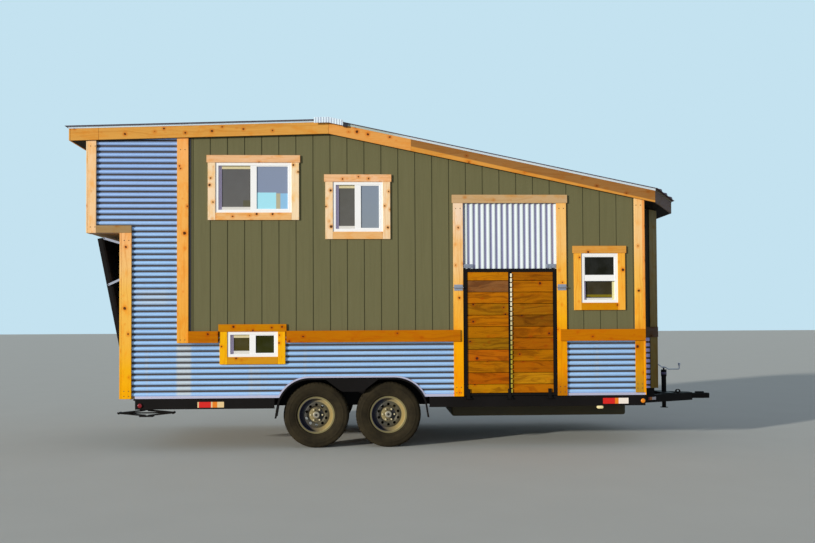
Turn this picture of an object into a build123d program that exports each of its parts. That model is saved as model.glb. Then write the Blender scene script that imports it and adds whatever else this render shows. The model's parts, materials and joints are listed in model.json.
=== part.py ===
from build123d import *
import os
from math import atan2, cos, degrees, radians, sin, sqrt, tan

# Tiny house on a tandem-axle trailer, in millimetres. Stations run along the trailer from the rear end
# of its frame, +X towards the hitch. -Y is the side with the fold-down deck, and Z is up from the ground.
# Everything is drawn by station, and moved as it is written so that the origin lies under the middle.

# Trailer frame
frame_length = 6096.0
frame_top = 607.0
rail_depth = 127.0
rail_flange = 44.0
rail_web = 6.0
rail_flange_thickness = 8.0
main_rail_setback = 267.5
outer_rail_inset = 5.0
crossmember_count = 11
crossmember_width = 38.0
crossmember_thickness = 5.0

# Wheels, axles and fenders
front_axle_setback = 3104.0
axle_spacing = 864.0
tyre_radius = 391.0
tyre_width = 235.0
tyre_setback = 164.5
tyre_bulge_radius = 300.0
tyre_shoulder = (14.0, 26.0)
tyre_shoulder_round = (22.0, 9.0)
tyre_tread_inset = 38.0
bead_radius = 203.0
bead_clearance = 3.0
rim_flange_radius = 221.0
rim_width = 190.0
rim_wall = 5.0
disc_offset = 38.0
disc_thickness = 7.0
disc_flat_radius = 92.0
disc_crown = (112.0, 135.0)
disc_rise = 16.0
disc_edge_drop = 6.0
hand_hole_count = 10
hand_hole_radius = 17.0
hand_hole_circle = 122.0
lug_count = 6
lug_circle = 69.85
lug_radius = 11.0
hub_radius = 44.0
hub_length = 120.0
hub_flange = 16.0
hub_cap_length = 40.0
hub_cap_bevel = (6.0, 12.0)
lug_length = 12.0
spindle_radius = 24.0
running_clearance = 0.5
axle_tube_radius = 38.0
axle_drop = 100.0
axle_bend_radius = 60.0
axle_bend_reach = 40.0
spindle_inset = 12.0
spring_inset = 25.0
spring_width = 45.0
spring_leaf = 9.0
spring_leaves = 3
spring_span = 640.0
spring_rise = 62.0
spring_step = 0.22
spring_pad = 45.0
hanger_half = 22.0
hanger_lap = 14.0
fender_plate = 3.0
fender_width = 314.0
fender_proud = 12.0
fender_top = 839.0
fender_flat_half = 500.0
fender_corner_radius = 402.0
fender_foot = 362.0
fender_leg_angle = 80.6
fender_lip = 22.0
skirt_top_half = 340.0
skirt_bottom_half = 120.0
skirt_drop = 166.0

# Tongue, coupler and jack
tongue_depth = 102.0
tongue_top = 535.0
tongue_root_half = 561.0
tongue_tip_half = 62.0
tongue_plate_half = 70.0
tongue_plate_thickness = 8.0
tongue_length = 1010.0
tongue_lap = 100.0
coupler_reach = 1274.0
coupler_width = 92.0
coupler_height = 68.0
coupler_drop = 12.0
coupler_flange = 8.0
coupler_lever = (120.0, 24.0, 20.0)
ball_radius = 29.4
ball_clearance = 0.4
ball_socket_depth = 34.0
jack_reach = 652.0
jack_tube_radius = 32.0
jack_wall = 4.0
jack_top = 841.0
jack_head_height = 90.0
jack_head_grow = 5.0
jack_foot = 330.0
jack_leg_radius = 27.0
jack_leg_length = 460.0
jack_leg_wall = 4.0
jack_foot_radius = 52.0
crank_radius = 7.0
crank_reach = 214.0
crank_tail = 135.0
crank_tail_rise = 84.0
crank_drop = 17.0
crank_grip_rise = 52.0
crank_bend = 14.0
crank_collar = 22.0
crank_knob_radius = 15.0
crank_knob_height = 36.0
stabiliser_station = 116.0
stabiliser_half = 318.0
stabiliser_drop = 84.0
stabiliser_width = 90.0
stabiliser_inset = 40.0
stabiliser_head = (70.0, 12.0)
stabiliser_foot = (80.0, 12.0)
tank_length = 2200.0
tank_setback = 106.0
tank_clearance = 6.0
tank_bottom = 320.0
tank_round = 30.0

# Walls and openings
shell_half = 1250.0
skin_thickness = 19.0
wall_thickness = 100.0
floor_thickness = 38.0
wing_rear = -154.0
loft_rear = -550.0
loft_floor_thickness = 92.0
loft_front = 2150.0
ridge_station = 2292.0
ridge_underside = 3752.0
rear_slope = 0.36 / 12.0
front_slope = 2.5 / 12.0
band_bottom = 1262.0
band_height = 140.0
band_thickness = 38.0
band_lap = 36.0
door_setback = 1069.0
door_width = 1133.0
door_head = 2925.0
rear_door_half = 600.0
rear_door_lintel = 80.0
bay_length = 294.0
bay_inset = 487.0
bay_floor = 652.0
bay_band_bottom = 1294.0
bay_band_height = 129.0
tray_plate = 6.0

# Trim
trim_thickness = 20.0
casing_width = 89.0
casing_overhang = 14.0
head_proud = 3.0
door_post_width = 117.0
header_height = 100.0
corner_board = 115.0
rear_board = 24.0
second_post_station = 494.0
second_post_width = 134.0
front_post_width = 121.0
bay_trim_width = 75.0
board_gap = 1.0
flashing = 30.0
arch_flashing = 20.0
flashing_thickness = 4.0

# Cladding
corrugation_pitch = 67.8
corrugation_depth = 15.0
groove_start = 679.8
groove_pitch = 203.2
groove_width = 11.0
groove_depth = 6.0

# Roof
roof_rear = -765.0
roof_corner_reach = 132.0
roof_front_reach = 494.0
roof_overhang = 45.0
roof_margin = 200.0
well_clear = 5000.0
roof_cut = 475.0
fascia_height = 140.0
fascia_thickness = 19.0
drip_height = 25.0
drip_proud = 4.0
roofing_proud = 36.0
roofing_pan = 4.0
rib_pitch = 152.4
rib_height = 19.0
rib_base = 44.0
rib_crown = 22.0
cap_half = 173.0
cap_thickness = 4.0
cap_drop = 67.0

# Fold-down decks
deck_clearance = 7.0
side_deck_bottom = 614.0
side_deck_top = 2130.0
side_deck_proud = 12.0
side_deck_rail = 40.0
side_deck_head = 34.0
side_deck_sill = 25.0
deck_tube = 50.0
deck_board = 25.0
side_deck_recess = 10.0
side_hinge_height = 579.0
side_hinge_places = (56.0, 551.0, 1036.0)
hinge_pin_radius = 6.0
hinge_barrel_radius = 11.0
hinge_barrel_length = 40.0
hinge_clearance = 0.3
hinge_strap = 6.0
rear_hinge_station = -92.0
rear_deck_inset = 130.0
rear_deck_length = 1985.0
rear_deck_lean = 11.4
rear_deck_headroom = 54.0
rear_deck_rail = 60.0
rear_joist_count = 3
rear_hinge_foot = 8.0
rear_hinge_places = (-900.0, 0.0, 900.0)
stay_width = 26.0
stay_thickness = 6.0
stay_plate = 4.0
stay_plate_half = 34.0
stay_plate_width = 46.0
# How far below the loft each stay's plate and its eye are, and how far the eye stands out
stays = ((118.0, 52.0, 218.0), (531.0, 606.0, 163.0))
latch_height = 1908.0
latch_plate = (104.0, 72.0, 4.0)
latch_barrel_radius = 9.0
latch_rod_radius = 6.0
latch_rod_reach = 60.0

front_window_setback = 772.0
# Windows: rear edge, sill height, width, height and which way the sash slides
windows = (
    (945.0, 2811.0, 902.0, 597.0, "slide"),
    (2338.0, 2582.0, 597.0, 597.0, "slide"),
    (1084.0, 1095.0, 597.0, 298.0, "slide"),
    (frame_length - front_window_setback, 1721.0, 445.0, 597.0, "hung"),
)
window_frame_width = 34.0
window_sash_width = 26.0
window_depth = 92.0
window_proud = 10.0
sash_setback = (22.0, 58.0)
pane_step = 12.0
glass_thickness = 6.0

# Worked-out places
floor_top = frame_top + floor_thickness
axle_stations = (frame_length - front_axle_setback - axle_spacing, frame_length - front_axle_setback)
coupler_tip = frame_length + coupler_reach
jack_station = frame_length + jack_reach
tank_front = frame_length - tank_setback
tank_rear = tank_front - tank_length
door_front = frame_length - door_setback
door_rear = door_front - door_width
side_hinge_stations = [door_rear + place for place in side_hinge_places]
bay_front = frame_length + bay_length
roof_corner = frame_length + roof_corner_reach
roof_front = frame_length + roof_front_reach
outer_rail_half = shell_half - outer_rail_inset
bay_half = shell_half - bay_inset
fender_outer_half = shell_half + fender_proud
fender_inner_half = fender_outer_half - fender_width
tyre_centre_half = fender_outer_half - tyre_setback
main_rail_half = tyre_centre_half - main_rail_setback
spring_half = main_rail_half - spring_inset
side_deck_face = shell_half + side_deck_proud
roof_half = shell_half + roof_overhang
roof_front_half = roof_half - roof_cut
rear_deck_half = shell_half - rear_deck_inset
rear_hinge_height = floor_top - deck_tube - deck_board
rear_deck_top = rear_hinge_height + rear_deck_length * cos(radians(rear_deck_lean))
loft_underside = round(rear_deck_top + rear_deck_headroom)
rear_door_head = loft_underside - rear_door_lintel
wall_half = shell_half - skin_thickness
room_half = wall_half - wall_thickness
wheel_station = sum(axle_stations) / 2
crown_front = roof_front + roofing_proud
crown_rear = roof_rear - roofing_proud
centre_station = (crown_rear + coupler_tip) / 2
band_top = band_bottom + band_height
seam_height = band_bottom + band_height / 2
seam_station = second_post_station + second_post_width / 2
far = Plane.XZ


def block(x0, x1, y0, y1, z0, z1):
    return Pos((x0 + x1) / 2, (y0 + y1) / 2, (z0 + z1) / 2) * Box(x1 - x0, y1 - y0, z1 - z0)


def cylinder_y(x, z, radius, y0, y1):
    return Pos(x, (y0 + y1) / 2, z) * Rot(90, 0, 0) * Cylinder(radius, y1 - y0)


def cylinder_x(y, z, radius, x0, x1):
    return Pos((x0 + x1) / 2, y, z) * Rot(0, 90, 0) * Cylinder(radius, x1 - x0)


def cylinder_z(x, y, radius, z0, z1):
    return Pos(x, y, (z0 + z1) / 2) * Cylinder(radius, z1 - z0)


def elevation(points, y0, y1):
    """A side-elevation outline of (station, height) points, made solid from y0 to y1."""
    face = make_face(Polyline(*[(x, y0, z) for x, z in points], close=True))
    return extrude(face, y1 - y0, dir=(0, 1, 0))


def both_sides(shape):
    return [shape, mirror(shape, about=far)]


def underside(station):
    """Height of the roof's lower face at a station."""
    if station < ridge_station:
        return ridge_underside - rear_slope * (ridge_station - station)
    return ridge_underside - front_slope * (station - ridge_station)


def write(name, solids):
    solids = solids if isinstance(solids, (list, tuple)) else [solids]
    loose = [s for shape in solids for s in shape.solids()]
    whole = loose[0] if len(loose) == 1 else Compound(children=loose)
    export_step(Pos(-centre_station, 0, 0) * whole, f"parts/{name}.step")


# Trailer

def channel(length, depth, flange, web, flange_thickness):
    """A rolled channel along +X: its web's outer face is at Y 0, its flanges point to -Y."""
    profile = make_face(Polyline(
        (0, 0, 0), (0, -flange, 0), (0, -flange, flange_thickness), (0, -web, flange_thickness),
        (0, -web, depth - flange_thickness), (0, -flange, depth - flange_thickness),
        (0, -flange, depth), (0, 0, depth), close=True))
    return extrude(profile, length, dir=(1, 0, 0))


def rail(start, end, half):
    whole = channel(end - start, rail_depth, rail_flange, rail_web, rail_flange_thickness)
    return Pos(start, half, frame_top - rail_depth) * whole


def crossmember_stations():
    step = (frame_length - crossmember_width) / (crossmember_count - 1)
    return [crossmember_width / 2 + step * n for n in range(crossmember_count)]


def in_wheel_bay(station):
    return abs(station - wheel_station) < fender_half() + crossmember_width


def crossmember_box(station, half):
    low = frame_top - rail_depth + rail_flange_thickness
    high = frame_top - rail_flange_thickness
    return block(station - crossmember_width / 2, station + crossmember_width / 2, -half, half, low, high)


def frame_rails():
    main = rail(0, frame_length, main_rail_half)
    for station in crossmember_stations():
        main -= crossmember_box(station, outer_rail_half)
    gap = fender_half() + fender_plate
    rear = rail(0, wheel_station - gap, outer_rail_half)
    front = rail(wheel_station + gap, frame_length, outer_rail_half)
    return [half for piece in (main, rear, front) for half in both_sides(piece)]


def crossmembers():
    pieces = []
    for station in crossmember_stations():
        half = fender_inner_half if in_wheel_bay(station) else outer_rail_half - rail_web
        hollow = crossmember_box(station + crossmember_thickness, half + crossmember_thickness)
        inner = hollow & block(-frame_length, 2 * frame_length, -2 * half, 2 * half,
                               frame_top - rail_depth + rail_flange_thickness + crossmember_thickness,
                               frame_top - rail_flange_thickness - crossmember_thickness)
        pieces.append(crossmember_box(station, half) - inner)
    return pieces


def fender_half():
    """Half length of a fender over its feet."""
    turn = radians(fender_leg_angle)
    leg_top = fender_top - fender_corner_radius * (1 - cos(turn))
    return fender_flat_half + fender_corner_radius * sin(turn) + (leg_top - fender_foot) / tan(turn)


def fender_outline(extra):
    """The fender's side outline, grown by extra all round but not at its foot."""
    turn = radians(fender_leg_angle)
    radius = fender_corner_radius + extra
    centre = fender_top - fender_corner_radius
    shoulder = (fender_flat_half + radius * sin(turn), centre + radius * cos(turn))
    middle = (fender_flat_half + radius * sin(turn / 2), centre + radius * cos(turn / 2))
    crown = (fender_flat_half, centre + radius)
    foot = (shoulder[0] + (shoulder[1] - fender_foot) / tan(turn), fender_foot)

    def at(point, side):
        return (wheel_station + side * point[0], 0, point[1])

    edges = [
        Line(at(foot, -1), at(shoulder, -1)),
        ThreePointArc(at(shoulder, -1), at(middle, -1), at(crown, -1)),
        Line(at(crown, -1), at(crown, 1)),
        ThreePointArc(at(crown, 1), at(middle, 1), at(shoulder, 1)),
        Line(at(shoulder, 1), at(foot, 1)),
        Line(at(foot, 1), at(foot, -1)),
    ]
    return make_face(edges)


def fender_prism(extra, y0, y1):
    return Pos(0, y0, 0) * extrude(fender_outline(extra), y1 - y0, dir=(0, 1, 0))


def fenders():
    tub = fender_prism(0, fender_inner_half, fender_outer_half)
    tub -= fender_prism(-fender_plate, fender_inner_half + fender_plate, fender_outer_half + 1)
    panel_foot = frame_top - rail_depth + rail_flange_thickness
    tub -= fender_prism(-fender_plate, fender_inner_half - 1, fender_outer_half) & block(
        wheel_station - 2 * fender_flat_half, wheel_station + 2 * fender_flat_half,
        fender_inner_half - 1, fender_outer_half, 0, panel_foot)
    lip = fender_prism(-fender_plate / 2, fender_outer_half - fender_plate, fender_outer_half)
    lip -= fender_prism(-fender_lip, fender_inner_half, fender_outer_half + 1)
    skirt_floor = fender_top - skirt_drop
    skirt = elevation([(wheel_station - skirt_top_half, fender_top - fender_plate / 2),
                       (wheel_station + skirt_top_half, fender_top - fender_plate / 2),
                       (wheel_station + skirt_bottom_half, skirt_floor),
                       (wheel_station - skirt_bottom_half, skirt_floor)],
                      fender_outer_half - fender_plate, fender_outer_half)
    lower = skirt.edges().filter_by(Axis.Y).sort_by(Axis.Z)[:2]
    skirt = fillet(lower, skirt_drop / 2)
    return both_sides(tub + lip + skirt)


def axle(station):
    tube_height = tyre_radius - axle_drop
    bend = main_rail_half + axle_bend_reach
    end = tyre_centre_half - rim_width / 2 + 10
    straight = end - rim_flange_radius / 4
    path = FilletPolyline(
        (station, -end, tyre_radius), (station, -straight + 10, tyre_radius), (station, -bend, tube_height),
        (station, bend, tube_height), (station, straight - 10, tyre_radius), (station, end, tyre_radius),
        radius=axle_bend_radius)
    section = Pos(station, -end, tyre_radius) * Rot(90, 0, 0) * Circle(axle_tube_radius)
    tube = sweep(section, path=path)
    spindle = spindle_radius
    tip = tyre_centre_half + disc_offset - spindle_inset
    for side in (-1, 1):
        near, out = sorted((side * end, side * tip))
        tube += cylinder_y(station, tyre_radius, spindle, near, out)
    return tube


def axles():
    return [axle(station) for station in axle_stations]


def leaf_spring(station):
    """A stack of curved leaves on the axle, its eyes in hangers under the main rail."""
    seat = tyre_radius - axle_drop + axle_tube_radius
    rail_bottom = frame_top - rail_depth
    low = seat + spring_leaf
    stack = spring_leaf * spring_leaves
    half = spring_span / 2
    pieces = []
    y0, y1 = spring_half - spring_width / 2, spring_half + spring_width / 2
    for leaf in range(spring_leaves):
        reach = half * (1 - spring_step * (spring_leaves - 1 - leaf))
        rise = spring_rise * (reach / half) ** 2
        bottom = low + spring_leaf * leaf
        outer = ThreePointArc((station - reach, y0, bottom + rise), (station, y0, bottom),
                              (station + reach, y0, bottom + rise))
        inner = ThreePointArc((station - reach, y0, bottom + rise + spring_leaf),
                              (station, y0, bottom + spring_leaf),
                              (station + reach, y0, bottom + rise + spring_leaf))
        ends = [Line((station + side * reach, y0, bottom + rise),
                     (station + side * reach, y0, bottom + rise + spring_leaf)) for side in (-1, 1)]
        pieces.append(extrude(make_face([outer, inner] + ends), spring_width, dir=(0, 1, 0)))
    spring = pieces[0]
    for piece in pieces[1:]:
        spring += piece
    pad = block(station - spring_pad, station + spring_pad, y0, y1, seat - 4, low + spring_leaf)
    pad -= cylinder_y(station, tyre_radius - axle_drop, axle_tube_radius, y0 - 1, y1 + 1)
    spring += pad
    eye_height = low + stack + spring_rise
    for side in (-1, 1):
        hanger = block(station + side * half - hanger_half, station + side * half + hanger_half, y0, y1,
                       eye_height - hanger_lap, rail_bottom)
        spring += hanger
    return spring


def leaf_springs():
    return [half for station in axle_stations for half in both_sides(leaf_spring(station))]


def tyre_profile():
    """Half section of the tyre as (width, radius): beads, bulged walls, rounded shoulders and a flat tread."""
    half = tyre_width / 2
    bead = rim_width / 2 - rim_wall
    foot = rim_flange_radius + bead_clearance
    shoulder = (half - tyre_shoulder[0], tyre_radius - tyre_shoulder[1])
    turn = (half - tyre_shoulder_round[0], tyre_radius - tyre_shoulder_round[1])
    edge = (half - tyre_tread_inset, tyre_radius)
    edges = [Line((bead, bead_radius), (-bead, bead_radius)), Line((-edge[0], edge[1]), edge)]
    for side in (-1, 1):
        edges += [
            Line((side * bead, bead_radius), (side * bead, foot)),
            ThreePointArc((side * bead, foot), (side * half, tyre_bulge_radius), (side * shoulder[0], shoulder[1])),
            ThreePointArc((side * shoulder[0], shoulder[1]), (side * turn[0], turn[1]), (side * edge[0], edge[1])),
        ]
    return edges


def turned(edges, station, side):
    """Turn a (width, radius) profile about the axle line of one wheel; +width points outboard."""
    face = make_face(edges)
    ring = revolve(face, Axis.X, 360)
    return Pos(station, side * tyre_centre_half, tyre_radius) * Rot(0, 0, side * 90) * ring


def tyre(station, side):
    return turned(tyre_profile(), station, side)


def rim(station, side):
    """Steel wheel: barrel and flanges, a dished disc with round hand holes, and its hub and cap."""
    edge = rim_width / 2
    inner = bead_radius - rim_wall
    seat = edge - rim_wall + running_clearance
    well = bead_radius - running_clearance
    disc, crown = disc_offset, disc_offset + disc_rise
    barrel = make_face(Polyline(
        (-edge, inner), (edge, inner), (edge, rim_flange_radius), (seat, rim_flange_radius), (seat, well),
        (-seat, well), (-seat, rim_flange_radius), (-edge, rim_flange_radius), close=True))
    outline = [(disc, 0), (disc, disc_flat_radius), (crown, disc_crown[0]), (crown, disc_crown[1]),
               (disc - disc_edge_drop, inner + 1)]
    back = [(width - disc_thickness, radius) for width, radius in reversed(outline)]
    plate = make_face(Polyline(*(outline + back), close=True))
    bore = spindle_radius + running_clearance
    cap = disc + hub_cap_length
    hub = make_face(Polyline(
        (disc - hub_length, bore), (disc - hub_length, hub_radius + hub_flange),
        (disc - 1, hub_radius + hub_flange), (disc - 1, hub_radius), (cap - hub_cap_bevel[0], hub_radius),
        (cap, hub_radius - hub_cap_bevel[1]), (cap, 0), (disc - disc_thickness - 1, 0),
        (disc - disc_thickness - 1, bore), close=True))
    wheel = revolve(barrel, Axis.X, 360) + revolve(plate, Axis.X, 360)
    for n in range(hand_hole_count):
        turn = 360 / hand_hole_count * n
        wheel -= Rot(turn, 0, 0) * Pos(disc, 0, hand_hole_circle) * Rot(0, 90, 0) * Cylinder(
            hand_hole_radius, 2 * disc_rise + 2 * disc_thickness)
    wheel -= Pos(disc, 0, 0) * Rot(0, 90, 0) * Cylinder(hub_radius + 4, 4 * disc_thickness)
    wheel += revolve(hub, Axis.X, 360)
    for n in range(lug_count):
        turn = 360 / lug_count * (n + 0.5)
        wheel += Rot(turn, 0, 0) * Pos(disc + disc_thickness, 0, lug_circle) * Rot(0, 90, 0) * extrude(
            RegularPolygon(lug_radius, 6), lug_length, both=True)
    return Pos(station, side * tyre_centre_half, tyre_radius) * Rot(0, 0, side * 90) * wheel


# Tongue, coupler and jack

def tongue():
    """Two channels from the frame's front corners to the coupler, and the plate that carries the jack."""
    low = tongue_top - tongue_depth
    angle = degrees(atan2(tongue_root_half - tongue_tip_half, tongue_length))
    run = sqrt(tongue_length ** 2 + (tongue_root_half - tongue_tip_half) ** 2)
    beam = channel(run + 2 * tongue_lap, tongue_depth, rail_flange, rail_web, rail_flange_thickness)
    beam = Pos(frame_length, tongue_root_half, low) * Rot(0, 0, -angle) * Pos(-tongue_lap, 0, 0) * beam
    keep = block(frame_length, frame_length + tongue_length, 0.5, tongue_root_half + 50, low, tongue_top)
    beam = beam & keep
    plate_half = tongue_root_half - (jack_station - frame_length) * (tongue_root_half - tongue_tip_half) / tongue_length
    top = tongue_top + tongue_plate_thickness
    plate = block(jack_station - tongue_plate_half, jack_station + tongue_plate_half, -plate_half, plate_half,
                  tongue_top, top)
    plate -= cylinder_z(jack_station, 0, jack_tube_radius, tongue_top - 1, top + 1)
    return both_sides(beam) + [plate]


def coupler():
    """A straight-channel coupler, its ball socket open below, with its lever latch on top."""
    rear = frame_length + tongue_length
    nose = coupler_tip - coupler_width / 2
    top = tongue_top - coupler_drop
    low = top - coupler_height
    body = block(rear, nose, -coupler_width / 2, coupler_width / 2, low, top)
    body += cylinder_z(nose, 0, coupler_width / 2, low, top)
    body = fillet(body.edges().group_by(Axis.Z)[-1], 10)
    body -= cylinder_z(nose, 0, ball_radius + ball_clearance, low - 1, low + ball_socket_depth)
    length, width, height = coupler_lever
    front = nose - ball_radius
    lever = block(front - length, front, -width / 2, width / 2, top, top + height)
    lever = fillet(lever.edges().filter_by(Axis.Y).group_by(Axis.Z)[-1], height * 0.45)
    flange = block(rear, rear + coupler_flange, -tongue_tip_half, tongue_tip_half, tongue_top - tongue_depth, tongue_top)
    return body + flange + lever


def tongue_jack():
    """The jack's outer tube in the tongue plate, with its gear head and the shaft that the crank turns on."""
    low = tongue_top - tongue_depth
    tube = cylinder_z(jack_station, 0, jack_tube_radius, low, jack_top)
    head = cylinder_z(jack_station, 0, jack_tube_radius + jack_head_grow, jack_top - jack_head_height, jack_top)
    bore = cylinder_z(jack_station, 0, jack_tube_radius - jack_wall, low - 1, jack_foot + jack_leg_length + 5)
    shaft = cylinder_z(jack_station, 0, crank_radius + 4, jack_top, jack_top + crank_collar)
    return (tube + head + shaft) - bore


def jack_leg():
    top = jack_foot + jack_leg_length
    leg = cylinder_z(jack_station, 0, jack_leg_radius, jack_foot, top)
    leg -= cylinder_z(jack_station, 0, jack_leg_radius - jack_leg_wall, jack_foot + 10, top + 1)
    leg += cylinder_z(jack_station, 0, jack_foot_radius, jack_foot, jack_foot + 6)
    return leg


def jack_crank():
    """A cranked handle on the jack's top: one bent rod with a knob at its end."""
    base = jack_top + crank_collar
    level = base - crank_drop
    hub = base + crank_radius + 3
    step = 2 * (crank_radius + 4)
    path = FilletPolyline(
        (jack_station - crank_tail, 0, hub + crank_tail_rise), (jack_station - step, 0, hub),
        (jack_station + step, 0, hub), (jack_station + 2 * jack_tube_radius, 0, level),
        (jack_station + crank_reach, 0, level),
        (jack_station + crank_reach, 0, level + crank_grip_rise), radius=crank_bend)
    section = Plane(origin=path.position_at(0), z_dir=path.tangent_at(0)) * Circle(crank_radius)
    rod = sweep(section, path=path)
    boss = cylinder_z(jack_station, 0, crank_radius + 6, base + hinge_clearance, hub + crank_radius + 2)
    knob_base = level + crank_grip_rise - 4
    knob = cylinder_z(jack_station + crank_reach, 0, crank_knob_radius, knob_base, knob_base + crank_knob_height)
    knob = fillet(knob.edges(), 6)
    return rod + boss + knob


def stabiliser(station):
    """A folded scissor jack under the frame: two pairs of arms, a screw, a head and a foot plate."""
    top = frame_top - rail_depth
    y1 = outer_rail_half - stabiliser_inset
    y0 = y1 - stabiliser_width
    mid = (y0 + y1) / 2
    half = stabiliser_half
    drop = stabiliser_drop
    head_half, head_plate = stabiliser_head
    foot_half, foot_plate = stabiliser_foot
    head = block(station - head_half, station + head_half, y0, y1, top - head_plate, top)
    foot = block(station - foot_half, station + foot_half, y0, y1, top - drop - 8, top - drop - 8 + foot_plate)
    jack = head + foot
    centre = top - 8 - (drop - 8) / 2
    for side in (-1, 1):
        upper = elevation([(station + side * 20, top - 8), (station + side * 20, top - 22),
                           (station + side * half, centre - 8), (station + side * half, centre + 8)],
                          y0 + 8, y1 - 8)
        lower = elevation([(station + side * 20, top - drop), (station + side * 20, top - drop + 14),
                           (station + side * half, centre + 8), (station + side * half, centre - 8)],
                          y0 + 14, y1 - 14)
        trunnion = cylinder_y(station + side * half, centre, 14, y0 + 2, y1 - 2)
        jack += upper + lower + trunnion
    jack += cylinder_x(mid, centre, 8, station - half - 30, station + half + 8)
    return jack


def stabilisers():
    return both_sides(stabiliser(stabiliser_station))


def under_tank():
    """A long tank between the main rails, hung against the undersides of the crossmembers."""
    half = main_rail_half - rail_flange - tank_clearance
    top = frame_top - rail_depth + rail_flange_thickness
    tank = block(tank_rear, tank_front, -half, half, tank_bottom, top)
    edges = tank.edges()
    upright, foot = edges.filter_by(Axis.Z), edges.group_by(Axis.Z)[0]
    return fillet(list(upright) + list(foot), tank_round)


# Floors and walls

def floor():
    slab = block(skin_thickness, frame_length - skin_thickness, -room_half, room_half, frame_top, floor_top)
    gap = fender_half() + fender_plate
    for side in (-1, 1):
        y0, y1 = sorted((side * fender_inner_half, side * (room_half + 1)))
        slab -= block(wheel_station - gap, wheel_station + gap, y0, y1, frame_top - 1, floor_top + 1)
    return slab


def loft_floor():
    return block(loft_rear, loft_front, -room_half, room_half, loft_underside,
                 loft_underside + loft_floor_thickness)


def side_outline(start, end, low):
    """A side wall's outline between two stations, from low up to the roof."""
    points = [(start, low), (end, low), (end, underside(end))]
    if start < ridge_station < end:
        points.append((ridge_station, underside(ridge_station)))
    return points + [(start, underside(start))]


def window_hole(window, y0, y1):
    rear, sill, width, height, _ = window
    return block(rear, rear + width, y0, y1, sill, sill + height)


def side_wall(start, end, low):
    """One stretch of the framed side wall, with its window holes and wheel arch, on the +Y side."""
    wall = elevation(side_outline(start, end, low), room_half, wall_half)
    wall -= fender_prism(board_gap, room_half - 1, wall_half + 1)
    for window in windows:
        wall -= window_hole(window, room_half - 1, wall_half + 1)
    return wall


def near_wall_over_door():
    return mirror(elevation(side_outline(door_rear, door_front, door_head), room_half, wall_half), about=far)


def near_walls():
    rear = side_wall(wing_rear, door_rear, frame_top)
    front = side_wall(door_front, frame_length - skin_thickness, frame_top)
    return [mirror(rear, about=far), mirror(front, about=far)]


def far_wall():
    return side_wall(wing_rear, frame_length - skin_thickness, frame_top)


def loft_side_walls():
    return both_sides(elevation(side_outline(loft_rear + skin_thickness, wing_rear, loft_underside),
                                room_half, wall_half))


def rear_wall_sides():
    start = skin_thickness
    side = block(start, start + wall_thickness, rear_door_half, room_half, floor_top, loft_underside)
    return both_sides(side)


def rear_wall_lintel():
    start = skin_thickness
    return block(start, start + wall_thickness, -rear_door_half, rear_door_half,
                 rear_door_head, loft_underside)


def loft_rear_wall():
    start = loft_rear + skin_thickness
    low = loft_underside + loft_floor_thickness
    return elevation(side_outline(start, start + wall_thickness, low), -room_half, room_half)


def front_walls():
    end = frame_length - skin_thickness
    inner = bay_half - skin_thickness - wall_thickness
    return both_sides(elevation(side_outline(end - wall_thickness, end, floor_top), inner, room_half))


def bay_side_walls():
    outer = bay_half - skin_thickness
    side = elevation(side_outline(frame_length - skin_thickness, bay_front - skin_thickness, bay_floor),
                     outer - wall_thickness, outer)
    return both_sides(side)


def bay_front_wall():
    end = bay_front - skin_thickness
    inner = bay_half - skin_thickness - wall_thickness
    return elevation(side_outline(end - wall_thickness, end, bay_floor), -inner, inner)


def bay_base():
    """The steel tray that carries the front bay on the tongue, open below."""
    front, half = bay_front - skin_thickness, bay_half - skin_thickness
    tray = block(frame_length, front, -half, half, tongue_top, bay_floor)
    return tray - block(frame_length + tray_plate, front - tray_plate, -half + tray_plate, half - tray_plate,
                        tongue_top - 1, bay_floor - tray_plate)


# Cladding

def wave_face(length, back, crest):
    """A corrugated section: u runs along the waves from 0, v out from the flat back to the crests."""
    count = int(length / corrugation_pitch) + 2
    middle = crest - corrugation_depth / 2
    quarter = corrugation_pitch / 4
    edges = []
    for n in range(count):
        u = n * corrugation_pitch
        edges.append(ThreePointArc((u, middle), (u + quarter, crest), (u + 2 * quarter, middle)))
        edges.append(ThreePointArc((u + 2 * quarter, middle), (u + 3 * quarter, crest - corrugation_depth),
                                   (u + 4 * quarter, middle)))
    end = count * corrugation_pitch
    edges += [Line((end, middle), (end, back)), Line((end, back), (0, back)), Line((0, back), (0, middle))]
    return make_face(edges)


def level_corrugation(start, end, low, high, back):
    """Corrugated sheet on the +Y side: waves stacked up the wall, ribs along it."""
    face = wave_face(high - low, back, back + skin_thickness)
    upright = Plane(origin=(start, 0, low), x_dir=(0, 0, 1), z_dir=(1, 0, 0)) * mirror(face, about=Plane.XZ)
    return extrude(upright, end - start, dir=(1, 0, 0))


def side_region(start, end, low):
    return elevation(side_outline(start, end, low), wall_half - 1, shell_half + 1)


def cut_openings(skin, door):
    for window in windows:
        skin -= window_hole(window, wall_half - 1, shell_half + 1)
    if door:
        skin -= block(door_rear, door_front, wall_half - 1, shell_half + 1, 0, door_head)
    return skin


def corrugated_side(door):
    """All of one side's corrugated sheet: the tail, the loft and the skirt below the band, on +Y."""
    low = frame_top + flashing
    sheet = level_corrugation(loft_rear, frame_length, low, ridge_underside, wall_half)
    tail = side_region(wing_rear, seam_station, low)
    loft = side_region(loft_rear, wing_rear, loft_underside)
    skirt = block(seam_station, frame_length, wall_half - 1, shell_half + 1, low, seam_height)
    sheet = sheet & (tail + loft + skirt)
    sheet -= fender_prism(arch_flashing + board_gap, wall_half - 1, shell_half + 1)
    return cut_openings(sheet, door)


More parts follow.
